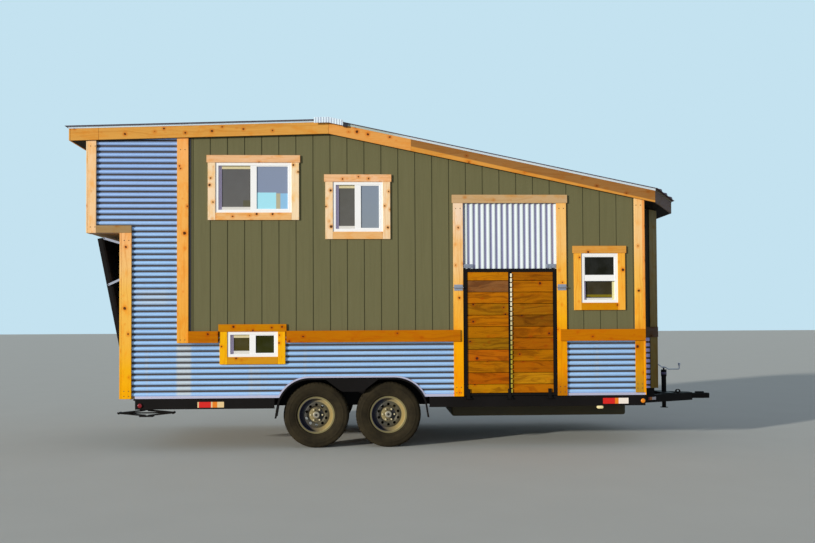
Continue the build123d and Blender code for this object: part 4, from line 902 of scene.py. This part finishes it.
def makeBandBoards():
    band = {"rear": 629, "casingReach": 104, "postReach": 122, "doorReach": 118, "housing": 20}
    bay = {"depth": 38, "low": 1294, "high": 1423}
    low, high, front, face = house["bandBottom"], house["bandTop"], house["frameLength"], house["shellHalf"]
    rearStop = windows["low"]["rear"] - band["casingReach"]
    frontStop = windows["low"]["rear"] + windows["low"]["width"] + band["casingReach"]
    doorRear, doorFront = house["doorRear"] - house["bandLap"], house["doorFront"] + house["bandLap"]
    # an end that laps over a post is housed over it, between these stations
    laps = {front: (front - band["postReach"], front + 2),
            doorRear: (house["doorRear"] - band["doorReach"], doorRear + 2),
            doorFront: (doorFront - 2, house["doorFront"] + band["doorReach"])}
    spans = {"near": [(band["rear"], rearStop), (frontStop, doorRear), (doorFront, front)],
             "far": [(band["rear"], rearStop), (frontStop, front)]}
    flank, nose = house["bayHalf"], house["bayFront"]
    for side, sideName in sides:
        boards = []
        for n, span in enumerate(spans[sideName]):
            notches = [sideBlock(side, *laps[end], face - 2, face + band["housing"], low - 2, high + 2)
                       for end in reversed(span) if end in laps]
            corners = sideBlock(side, *span, face, face + house["bandDepth"], low, high)
            name = f"band{n}_{sideName}"
            boards.append(board(name, corners, stainsAndShades["band"], notches=notches, easing=0.003))
        # the bay's band is stained in painted shade
        slot = sideBlock(side, nose - 76, nose + 22, flank - 2, flank + 20, bay["low"] - 2, bay["high"] + 2)
        corners = sideBlock(side, front + 21, nose + 20, flank, flank + bay["depth"], bay["low"], bay["high"])
        boards.append(board(f"bayBand_{sideName}", corners, stainsAndShades["bayBand"], notches=[slot]))
        trim("bandBoards_" + sideName, boards, "band_boards")


def makeDoorTrim():
    face, out = -house["shellHalf"], -house["shellHalf"] - house["trimDepth"]
    rear, front, head, post = house["doorRear"], house["doorFront"], house["doorHead"], house["doorPost"]
    foot, lap, proud = house["frameTop"], 14, 3
    rows = (("doorPostRear", (rear - post, out, foot), (rear, face, head - 1)),
            ("doorPostFront", (front, out, foot), (front + post, face, head - 1)),
            ("doorHeader", (rear - post - lap, out - proud, head), (front + post + lap, face, head + 100)))
    trim("doorTrim", [board(name, corners, stainsAndShades[name]) for name, *corners in rows], "door_trim")


def makeCasings():
    casing = {"width": 89, "lap": 14, "proud": 3}
    looks = {"loft": "upper", "middle": "upper", "low": "low", "front": "front"}
    face, out, width = house["shellHalf"], house["shellHalf"] + house["trimDepth"], casing["width"]
    reach = width + casing["lap"]
    for name, window in windows.items():
        rear, front = window["rear"], window["rear"] + window["width"]
        sill, top = window["sill"], window["sill"] + window["height"]
        proud = out + casing["proud"]
        rows = (
            ("Head", (rear - reach, front + reach, face, proud, top + 1, top + width), "Head"),
            ("Apron", (rear + 1, front - 1, face, out, sill - width, sill), "Apron"),
            ("Rear", (rear - width, rear, face, out, sill - width, top), "Side"),
            ("Front", (front, front + width, face, out, sill - width, top), "Side"),
        )
        for side, sideName in sides:
            boards = [board(f"{name}{part}_{sideName}", sideBlock(side, *span), stainsAndShades[looks[name] + stain])
                      for part, span, stain in rows]
            trim(f"casing_{name}_{sideName}", boards, "window_casings")


def makeFascia():
    roof = {"rear": -765, "corner": 6228, "front": 6590, "half": 1295, "frontHalf": 820, "height": 140,
            "thick": 19, "cutThick": 33, "noseHalf": 800, "joint": 3276, "split": -418}
    # the front boards carry the roofing's painted shadow above a painted sunlit strip, which narrows towards
    # the hitch
    lit = {"start": 0.36, "soft": 0.07, "fall": 0.012}
    height, thick = roof["height"], roof["thick"]

    def sloped(name, x0, x1, places, stain, foot=None, swing=0):
        # a board whose +X end follows the roof down, and moves across by swing
        made = block(name, ((x0, places[0], underside(x0)), (x1, places[1], underside(x0) + height)))
        middle = along((x0 + x1) / 2)
        pickFaces(made, lambda centre, normal: normal.x > 0.9 and centre.x > middle)
        with editing(made):
            bpy.ops.transform.translate(value=(0, swing / 1000, (underside(x1) - underside(x0)) / 1000))
        if foot:
            for share in (lit["start"], lit["start"] + lit["soft"]):
                edge = place(x0, 0, underside(x0) + height * share)
                cutBy(made, edge, (ridge["frontSlope"] + lit["fall"], 0, 1))
        ease(made, 0.002)
        layGrain(made, stainsAndShades[stain], lengthways=0)
        if foot:
            # painted light: shadow colour above the edge, sunlit colour below it
            colours, edge = [], height * (lit["start"] + lit["soft"] / 2)
            for vertex in made.data.vertices:
                station = vertex.co.x * 1000 + house["middleStation"]
                level = vertex.co.z * 1000 - underside(station) + (station - x0) * lit["fall"]
                colours += shade(*stainsAndShades[foot if level < edge else stain])
            made.data.attributes["stain"].data.foreach_set("color", colours)
        return made

    rows = (
        ("TailEnd", roof["rear"] + thick + 1, roof["split"] - 1, "rearFascia"),
        ("Rear", roof["split"] + 1, ridge["station"] - 1, "rearFascia"),
        ("Middle", ridge["station"] + 1, roof["joint"] - 1, "frontFascia"),
        ("Front", roof["joint"], roof["corner"] - 1, "darkFascia", "paleFascia"),
    )
    ends = (("Tail", roof["rear"], roof["rear"], roof["half"], "rearFascia"),
            ("Nose", roof["front"] - thick, roof["front"], roof["noseHalf"], "chamferFascia"))
    boards = []
    for side, sideName in sides:
        places = sorted((side * (roof["half"] - thick), side * roof["half"]))
        for name, x0, x1, *stain in rows:
            boards.append(sloped(f"fascia{name}_{sideName}", x0, x1, places, *stain))
        places = sorted((side * (roof["half"] - roof["cutThick"]), side * roof["half"]))
        boards.append(sloped("fasciaCut_" + sideName, roof["corner"] + 1, roof["front"], places,
                             "chamferFascia", swing=side * (roof["frontHalf"] - roof["half"])))
    for name, x0, level, half, stain in ends:
        foot = underside(level)
        corners = (x0, -half, foot), (x0 + thick, half, foot + height)
        boards.append(board("fascia" + name, corners, stainsAndShades[stain]))
    wear(joined("fasciaBoards", boards), boardWood, replaces=["fascia"])


makeCornerBoards()
makeBandBoards()
makeDoorTrim()
makeCasings()
makeFascia()
print("trim boards ready")


# Deck boards

def makeSideDeckBoards():
    deck = {"rear": 3901, "front": 5020, "rail": 40, "low": 640, "high": 2095, "outer": 1252, "thick": 25,
            "count": 11, "endRow": 106, "gap": 5}
    # one colour for each board, from the top down
    tones = {
        "rear": ((188, 114, 3), (130, 84, 44), (181, 105, 4), (161, 104, 7), (178, 104, 2), (169, 102, 1),
                 (148, 99, 6), (178, 95, 4), (173, 105, 2), (169, 87, 1), (178, 116, 3)),
        "front": ((154, 88, 3), (173, 102, 4), (161, 95, 2), (154, 95, 6), (128, 76, 6), (167, 95, 2),
                  (159, 87, 2), (169, 102, 1), (161, 88, 1), (183, 122, 11), (173, 99, 2)),
    }
    middle, rail, narrow = (deck["rear"] + deck["front"]) / 2, deck["rail"], deck["endRow"]
    step = (deck["high"] - deck["low"] - 2 * narrow) / (deck["count"] - 2)
    edges = [deck["high"] - narrow - n * step for n in range(deck["count"] - 1)]
    edges = [deck["high"]] + edges + [deck["low"]]
    fields = {"rear": (deck["rear"] + rail + 1, middle - rail / 2 - 1),
              "front": (middle + rail / 2 + 1, deck["front"] - rail - 1)}
    outer, inner = -deck["outer"], -deck["outer"] + deck["thick"]
    for field, (start, end) in fields.items():
        boards = []
        for n, tone in enumerate(tones[field]):
            corners = (start, outer, edges[n + 1] + deck["gap"]), (end, inner, edges[n])
            boards.append(board(f"sideDeck_{field}{n}", corners, tone, easing=0.003))
        piece = joined("sideDeckBoards_" + field, boards)
        wear(piece, deckWood, "side_deck", ["side_deck_boards"])


def makeRearDeckBoards():
    # laid upright, then leaned back with the deck about its hinge
    deck = {"station": -92, "height": 570, "lean": 11.4, "inner": 50, "thick": 25, "half": 1120,
            "low": 589, "high": 2555, "count": 14}
    # nearly black: painted shade on the leaning panel's inner face
    tones = ((18, 14, 12), (15, 12, 11), (21, 16, 14), (14, 11, 11))
    step = (deck["high"] - deck["low"]) / deck["count"]
    x0, half, boards = deck["station"] + deck["inner"], deck["half"], []
    for n in range(deck["count"]):
        low = deck["low"] + n * step
        corners = (x0, -half, low + 1), (x0 + deck["thick"], half, low + step - 2)
        boards.append(board(f"rearDeck{n}", corners, tones[n % len(tones)], easing=0.003))
    piece = joined("rearDeckBoards", boards)
    pivot = place(deck["station"], 0, deck["height"])
    lean = Matrix.Rotation(math.radians(-deck["lean"]), 4, "Y")
    piece.data.transform(Matrix.Translation(pivot) @ lean @ Matrix.Translation(-pivot))
    wear(piece, boardWood, "rear_deck", ["rear_deck_boards"])


makeSideDeckBoards()
makeRearDeckBoards()
print("deck boards ready")


# Tyres

def makeTyres():
    tyre = {"stations": {"rear": 2128, "front": 2992}, "centreHalf": 1097.5, "radius": 391, "steps": 96,
            "lugRadius": 370, "lugReach": 0.062, "lugPitch": 7.5, "lugInset": 0.003, "lugDepth": -0.006}
    # half section of the tyre, outboard from the bead: how far out, and how far from the axle
    section = [
        (90, 204), (90, 223), (96, 228), (103, 236), (105.5, 243), (105.5, 247), (104, 249), (108, 258),
        (112.5, 272), (115.6, 290), (116.6, 306), (115.6, 320), (116.6, 322), (116.6, 326), (114.6, 328),
        (112, 340), (108.5, 352), (109, 355), (106.5, 364), (101, 376), (93, 385), (82, 389.5), (62, 391),
        (60, 382), (52, 382), (50, 391), (30, 391), (28, 382), (20, 382), (18, 391),
    ]
    outline = section + [(-width, radius) for width, radius in reversed(section)]
    master = outlined([(0, -width / 1000, radius / 1000) for width, radius in outline])
    with editing(master, "VERT", whole=True):
        bpy.ops.mesh.spin(steps=tyre["steps"], angle=math.tau, center=(0, 0, 0), axis=(0, 1, 0))
        bpy.ops.mesh.select_all(action="SELECT")
        bpy.ops.mesh.remove_doubles(threshold=0.0001)
        bpy.ops.mesh.normals_make_consistent(inside=False)

    def lug(centre, normal):
        radius = math.hypot(centre.x, centre.z) * 1000
        turn = math.degrees(math.atan2(centre.z, centre.x)) % tyre["lugPitch"]
        return radius > tyre["lugRadius"] and abs(centre.y) > tyre["lugReach"] and turn < tyre["lugPitch"] / 2

    pickFaces(master, lug)
    with editing(master):
        bpy.ops.mesh.inset(thickness=tyre["lugInset"], depth=tyre["lugDepth"], use_individual=True)
    smooth(master, 32)
    for row, station in tyre["stations"].items():
        for side, sideName in sides:
            name = f"tyre_{row}_{sideName}"
            turn = Matrix.Rotation(math.pi, 4, "Z") if side > 0 else None
            centre = place(station, side * tyre["centreHalf"], tyre["radius"])
            piece = copied(master, "tread_" + name, centre, turn)
            wear(piece, tyreRubber, f"wheel_{row}_{sideName}", [name])
    bpy.data.objects.remove(master)


makeTyres()
print("tyres ready")


# Sashes and small fittings

def makeSashes():
    # the front sash is flush with the frame, the other one stands deeper
    sash = {"frame": 34, "barHalf": 37, "edge": 12, "clear": 14, "depths": (1248, 1256),
            "holeDepths": (1243, 1261), "deepDepths": (1227.5, 1232), "pane": (1241, 1247),
            "deepPane": (1220, 1226)}
    deepEdges = {"slide": (38, 0, 38, 38), "hung": (24, 30, 26, 0)}  # rear, front, foot, top
    # painted light on the deeper sash: shade on the rear stick, sunlit yellow on the front, warm reflected
    # light on the top, the foot near white
    tints = {"Rear": (214, 194, 222), "Front": (206, 196, 136), "Foot": (204, 198, 188),
             "Top": (206, 190, 142)}
    frame, bar, edge, clear = sash["frame"], sash["barHalf"], sash["edge"], sash["clear"]
    for side, sideName in sides:

        def facing(span, depths):
            return sideBlock(side, *span[:2], *depths, *span[2:])

        fronts, sticks, panes = [], [], []
        for name, window in windows.items():
            x0, x1 = window["rear"] + frame, window["rear"] + window["width"] - frame
            z0, z1 = window["sill"] + frame, window["sill"] + window["height"] - frame
            if window["style"] == "slide":
                middle = (x0 + x1) / 2
                span, deep = (middle - bar, x1, z0, z1), (x0, middle - clear, z0, z1)
                opening = (middle + bar, x1 - edge, z0 + edge, z1 - edge)
            else:
                middle = (z0 + z1) / 2
                span, deep = (x0, x1, middle - bar, z1), (x0, x1, z0, middle - clear)
                opening = (x0 + edge, x1 - edge, middle + bar, z1 - edge)
            front = block(f"sash_{name}", facing(span, sash["depths"]))
            carve(front, block("sashHole", facing(opening, sash["holeDepths"])))
            fronts.append(ease(front, 0.002))
            rear, fore, foot, top = deepEdges[window["style"]]
            a0, a1, c0, c1 = deep
            rows = (("Rear", (a0, a0 + rear, c0, c1)), ("Front", (a1 - fore, a1, c0, c1)),
                    ("Foot", (a0 + rear, a1 - fore, c0, c0 + foot)),
                    ("Top", (a0 + rear, a1 - fore, c1 - top, c1)))
            for part, stick in rows:
                if stick[1] > stick[0] and stick[3] > stick[2]:
                    sticks.append(board(f"deep{part}_{name}_{sideName}", facing(stick, sash["deepDepths"]),
                                        tints[part], easing=0.001))
            for (s0, s1, h0, h1), depths in ((span, sash["pane"]), (deep, sash["deepPane"])):
                pane = block(f"pane{len(panes)}_{sideName}", facing((s0 + 1, s1 - 1, h0 + 1, h1 - 1), depths))
                panes.append(ease(pane, 0.001, 1))
        wear(joined("sashes_" + sideName, fronts), whiteVinyl)
        wear(joined("deepSashes_" + sideName, sticks), sashVinyl)
        wear(joined("panes_" + sideName, panes), windowGlass, replaces=["window_glass"])


makeSashes()
print("sashes ready")


def makeStriped(name, stripes, origin):
    # bands of colour along X: where each starts, in millimetres from the origin
    paint = Finish(name, Roughness=0.35)
    colour = stripes[0][1]
    for start, tint in stripes[1:]:
        colour = paint.mix(paint.x > (origin + start / 1000), colour, tint)
    fleck = paint.noise(paint.place, 140.0)
    colour = paint.mix(fleck.ramped(0.55, 3) * 0.25, colour, (90, 70, 60))
    return paint.paint(colour, height=fleck, depth=0.0002)


def plate(name, corners, radius):
    # a thin plate on a side face, its outline rounded
    made = block(name, corners)
    with editing(made, "EDGE"):
        bpy.ops.mesh.select_all(action="DESELECT")
    for edge in made.data.edges:
        first, last = (made.data.vertices[v].co for v in edge.vertices)
        edge.select = abs((first - last).normalized().y) > 0.9
    with editing(made, "EDGE"):
        bpy.ops.mesh.bevel(offset=radius, segments=4, affect="EDGES")
    return made


def makeTapes():
    # reflective tapes on the frame's rails
    red, orange, white, cream = (222, 24, 10), (240, 130, 10), (250, 238, 226), (238, 206, 150)
    tapes = {
        "tapeRear": {"span": (732, 1043), "heights": (498, 565),
                     "stripes": ((0, cream), (16, red), (158, cream), (176, orange), (232, cream))},
        "tapeFront": {"span": (5577, 5887), "heights": (503, 572),
                      "stripes": ((0, red), (146, orange), (190, white))},
    }
    for name, tape in tapes.items():
        paint = makeStriped(name + "Paint", tape["stripes"], along(tape["span"][0]))
        for side, sideName in sides:
            corners = sideBlock(side, *tape["span"], 1245.5, 1248, *tape["heights"])
            wear(plate(f"{name}_{sideName}", corners, 0.004), paint)


def makeMarkers():
    # round lamps on black seats, and a longer lamp under the door
    marker = {"outs": (1245.5, 1250, 1262), "radius": 27, "rim": 7}  # face, seat and lens
    step = {"span": (5503, 5582), "depths": (1222, 1247), "heights": (445, 479.5), "radius": 0.0165}
    amber = makePlain("amberLens", (246, 150, 14), (226, 122, 8), 0.2, 30.0)
    redLens = makePlain("redLens", (150, 16, 24), (110, 10, 18), 0.2, 30.0)
    creamLens = makePlain("creamLens", (255, 244, 196), (246, 222, 150), 0.25, 20.0)
    rows = (("amberMarker", 6064, 537, amber), ("redMarker", 59, 526, redLens))
    for side, sideName in sides:
        for name, station, height, lens in rows:
            base, seatTip, tip = [place(station, side * out, height) for out in marker["outs"]]
            lamp = ease(rod(f"{name}_{sideName}", base, tip, marker["radius"] / 1000, 32), 0.009, 4, 50)
            smooth(lamp, 40)
            wear(lamp, lens)
            seat = rod(f"{name}Seat_{sideName}", base, seatTip, (marker["radius"] + marker["rim"]) / 1000, 32)
            wear(ease(seat, 0.0015, 2, 50), blackSteel)
        corners = sideBlock(side, *step["span"], *step["depths"], *step["heights"])
        lamp = ease(plate(f"stepLamp_{sideName}", corners, step["radius"]), 0.003, 2, 50)
        smooth(lamp, 40)
        wear(lamp, creamLens)


def makeCapRibs():
    # ribs on the ridge cap's turned-down ends, and a dark closure under the roof beside it
    cap = {"half": 173, "out": (1335.3, 1339), "low": 126, "high": 190, "pitch": 31, "wide": 9}
    closure = {"station": 2490, "back": 24, "fore": 26, "depths": (1300, 1329), "low": 118, "high": 160}
    rows = int(cap["half"] / cap["pitch"])
    start = ridge["station"] - rows * cap["pitch"]
    base, foot = underside(start), underside(closure["station"])
    for side, sideName in sides:
        corners = sideBlock(side, start - cap["wide"] / 2, start + cap["wide"] / 2, *cap["out"],
                            base + cap["low"], base + cap["high"])
        rib = ease(block("capRib", corners), 0.0015)
        ribs = [rib]
        for n in range(1, 2 * rows + 1):
            station = start + n * cap["pitch"]
            shift = (n * cap["pitch"] / 1000, 0, (underside(station) - base) / 1000)
            ribs.append(copied(rib, f"capRib{n}", shift))
        wear(joined("capRibs_" + sideName, ribs), ridgeMetal)
        corners = sideBlock(side, closure["station"] - closure["back"], closure["station"] + closure["fore"],
                            *closure["depths"], foot + closure["low"], foot + closure["high"])
        wear(ease(block("roofClosure_" + sideName, corners), 0.004), darkChannel)


def makeShadowStrips():
    # a dark strip on the siding beside each second post: the post's painted shadow
    shadowStrip = {"rear": 629, "front": 655, "depths": (1250.5, 1256), "foot": house["bandTop"] + 2}
    for side, sideName in sides:
        corners = sideBlock(side, shadowStrip["rear"], shadowStrip["front"], *shadowStrip["depths"], shadowStrip["foot"],
                            house["aboveRoof"])
        made = block("sidingChannel_" + sideName, corners)
        top = place(shadowStrip["rear"], 0, underside(shadowStrip["rear"]) - 1)
        cutBy(made, top, (-ridge["rearSlope"], 0, 1), clear=True)
        wear(ease(made, 0.001, 1), darkChannel)


def makeDeckStrip():
    # a strip of knuckles up the middle of the side deck, ivory above and dusty yellow below
    strip = {"rear": 4460.5, "front": 4481.5, "face": 1262.5, "out": 1268, "low": 646, "high": 2088,
             "pitch": 57.7, "long": 46}
    paint = Finish("stripPaint", Roughness=0.45)
    cloud = paint.noise(paint.place, 30.0, 3)
    colour = paint.mix(((paint.z - 1.15) / 0.65).clamped(), (178, 160, 40), (252, 244, 214))
    colour = paint.mix(cloud.ramped(0.5, 3) * 0.4, colour, (140, 110, 40))
    material = paint.paint(colour, height=cloud, depth=0.0004)
    low = strip["low"]
    knuckle = ease(block("knuckle", ((strip["rear"], -strip["out"], low),
                                     (strip["front"], -strip["face"], low + strip["long"]))), 0.002)
    count = int((strip["high"] - low - strip["long"]) / strip["pitch"]) + 1
    others = [copied(knuckle, f"knuckle{n}", (0, 0, n * strip["pitch"] / 1000)) for n in range(1, count)]
    wear(joined("deckStrip", [knuckle] + others), material, "side_deck")


def makeAwningPlates():
    # two plates at the foot of the awning sheet, each with three pins
    bracket = {"low": 2144, "high": 2190, "face": -1252, "out": -1258, "pinLevel": 2167, "pinOut": -1263,
               "pinBack": -1257, "pinPlaces": (20, 58, 98)}
    level, places = bracket["pinLevel"], bracket["pinPlaces"]
    for name, start, end in (("awningPlateRear", 3897, 4015), ("awningPlateFront", 4899, 5018)):
        made = block(name, ((start, bracket["out"], bracket["low"]), (end, bracket["face"], bracket["high"])))
        ease(made, 0.002)
        pin = rod(name + "Pin", place(start + places[0], bracket["pinBack"], level),
                  place(start + places[0], bracket["pinOut"], level), 0.008, 16)
        others = [copied(pin, f"{name}Pin{n}", ((spot - places[0]) / 1000, 0, 0))
                  for n, spot in enumerate(places) if n]
        wear(joined(name, [made, pin] + others), galvanised)


def makeTongueFittings():
    # reflective tape along each beam, an eye plate on the tongue and a band round the jack
    tape = {"start": 6392, "long": 132, "thick": 3, "low": 466, "high": 506, "share": 0.30, "proud": 0.0035}
    eye = {"corners": ((6829, -203, 536), (6903, -196, 591)), "rounding": 0.026, "station": 6866,
           "level": 566, "holePlaces": (-230, -170), "holeRadius": 0.014}
    jack = {"station": 6748, "low": 776, "high": 808, "radius": 0.0385}
    root, tip = place(6096, -561, 0), place(7106, -62, 0)
    beam = math.atan2(tip.y - root.y, tip.x - root.x)
    outward = Vector((math.sin(beam), -math.cos(beam), 0))
    spot = root + (tip - root) * tape["share"] + outward * tape["proud"]
    paint = makeStriped("tongueTapePaint", ((0, (130, 22, 26)), (34, (190, 110, 30)), (66, (196, 190, 196))),
                        along(tape["start"]))
    for side, sideName in sides:
        corners = (0, 0, tape["low"]), (tape["long"], tape["thick"], tape["high"])
        made = plate(f"tongueTape_{sideName}", corners, 0.004)
        made.data.transform(Matrix.Translation((-along(0), -tape["thick"] / 2000, 0)))
        made.data.transform(Matrix.Translation((spot.x, spot.y, 0)) @ Matrix.Rotation(beam, 4, "Z"))
        if side > 0:
            made.data.transform(Matrix.Scale(-1, 4, (0, 1, 0)))
            with editing(made, whole=True):
                bpy.ops.mesh.normals_make_consistent(inside=False)
        wear(made, paint)
    made = plate("chainEye", eye["corners"], eye["rounding"])
    hole = [place(eye["station"], off, eye["level"]) for off in eye["holePlaces"]]
    carve(made, rod("eyeHole", *hole, eye["holeRadius"]))
    wear(ease(made, 0.0015, 1, 50), blackSteel)
    band = [place(jack["station"], 0, height) for height in (jack["low"], jack["high"])]
    made = ease(rod("jackBand", *band, jack["radius"], 40), 0.003, 2, 50)
    smooth(made)
    wear(made, makePlain("jackBandPaint", (92, 82, 112), (74, 66, 92), 0.4, 30.0))


def makeScrews():
    # pairs of dark screw heads near the ends of the boards: stations and heights of the pairs
    posts = {-96: (640, 700, 2480), 561: (1300, 3560), 3835: (650, 715, 2860), 5085: (650, 715, 2860),
             6024: (690, 740, 2900), -492: (2640, 3600)}
    screw = {"face": 1270.2, "out": 1271.8, "apart": 27, "radius": 0.0055, "door": (3700, 5200)}
    paint = makePlain("screwPaint", (60, 44, 34), (44, 34, 30), 0.5, 60.0)
    for side, sideName in sides:
        spots = [(station + shift, height) for station, heights in posts.items() for height in heights
                 for shift in (-screw["apart"], screw["apart"])
                 if side < 0 or not screw["door"][0] < station < screw["door"][1]]
        start, low = spots[0]
        head = rod("screw", place(start, side * screw["face"], low), place(start, side * screw["out"], low),
                   screw["radius"], 12)
        others = [copied(head, f"screw{n}", ((station - start) / 1000, 0, (height - low) / 1000))
                  for n, (station, height) in enumerate(spots) if n]
        wear(ease(joined("screws_" + sideName, [head] + others), 0.0006, 1, 50), paint)


makeTapes()
makeMarkers()
makeCapRibs()
makeShadowStrips()
makeDeckStrip()
makeAwningPlates()
makeTongueFittings()
makeScrews()
print("fittings ready")
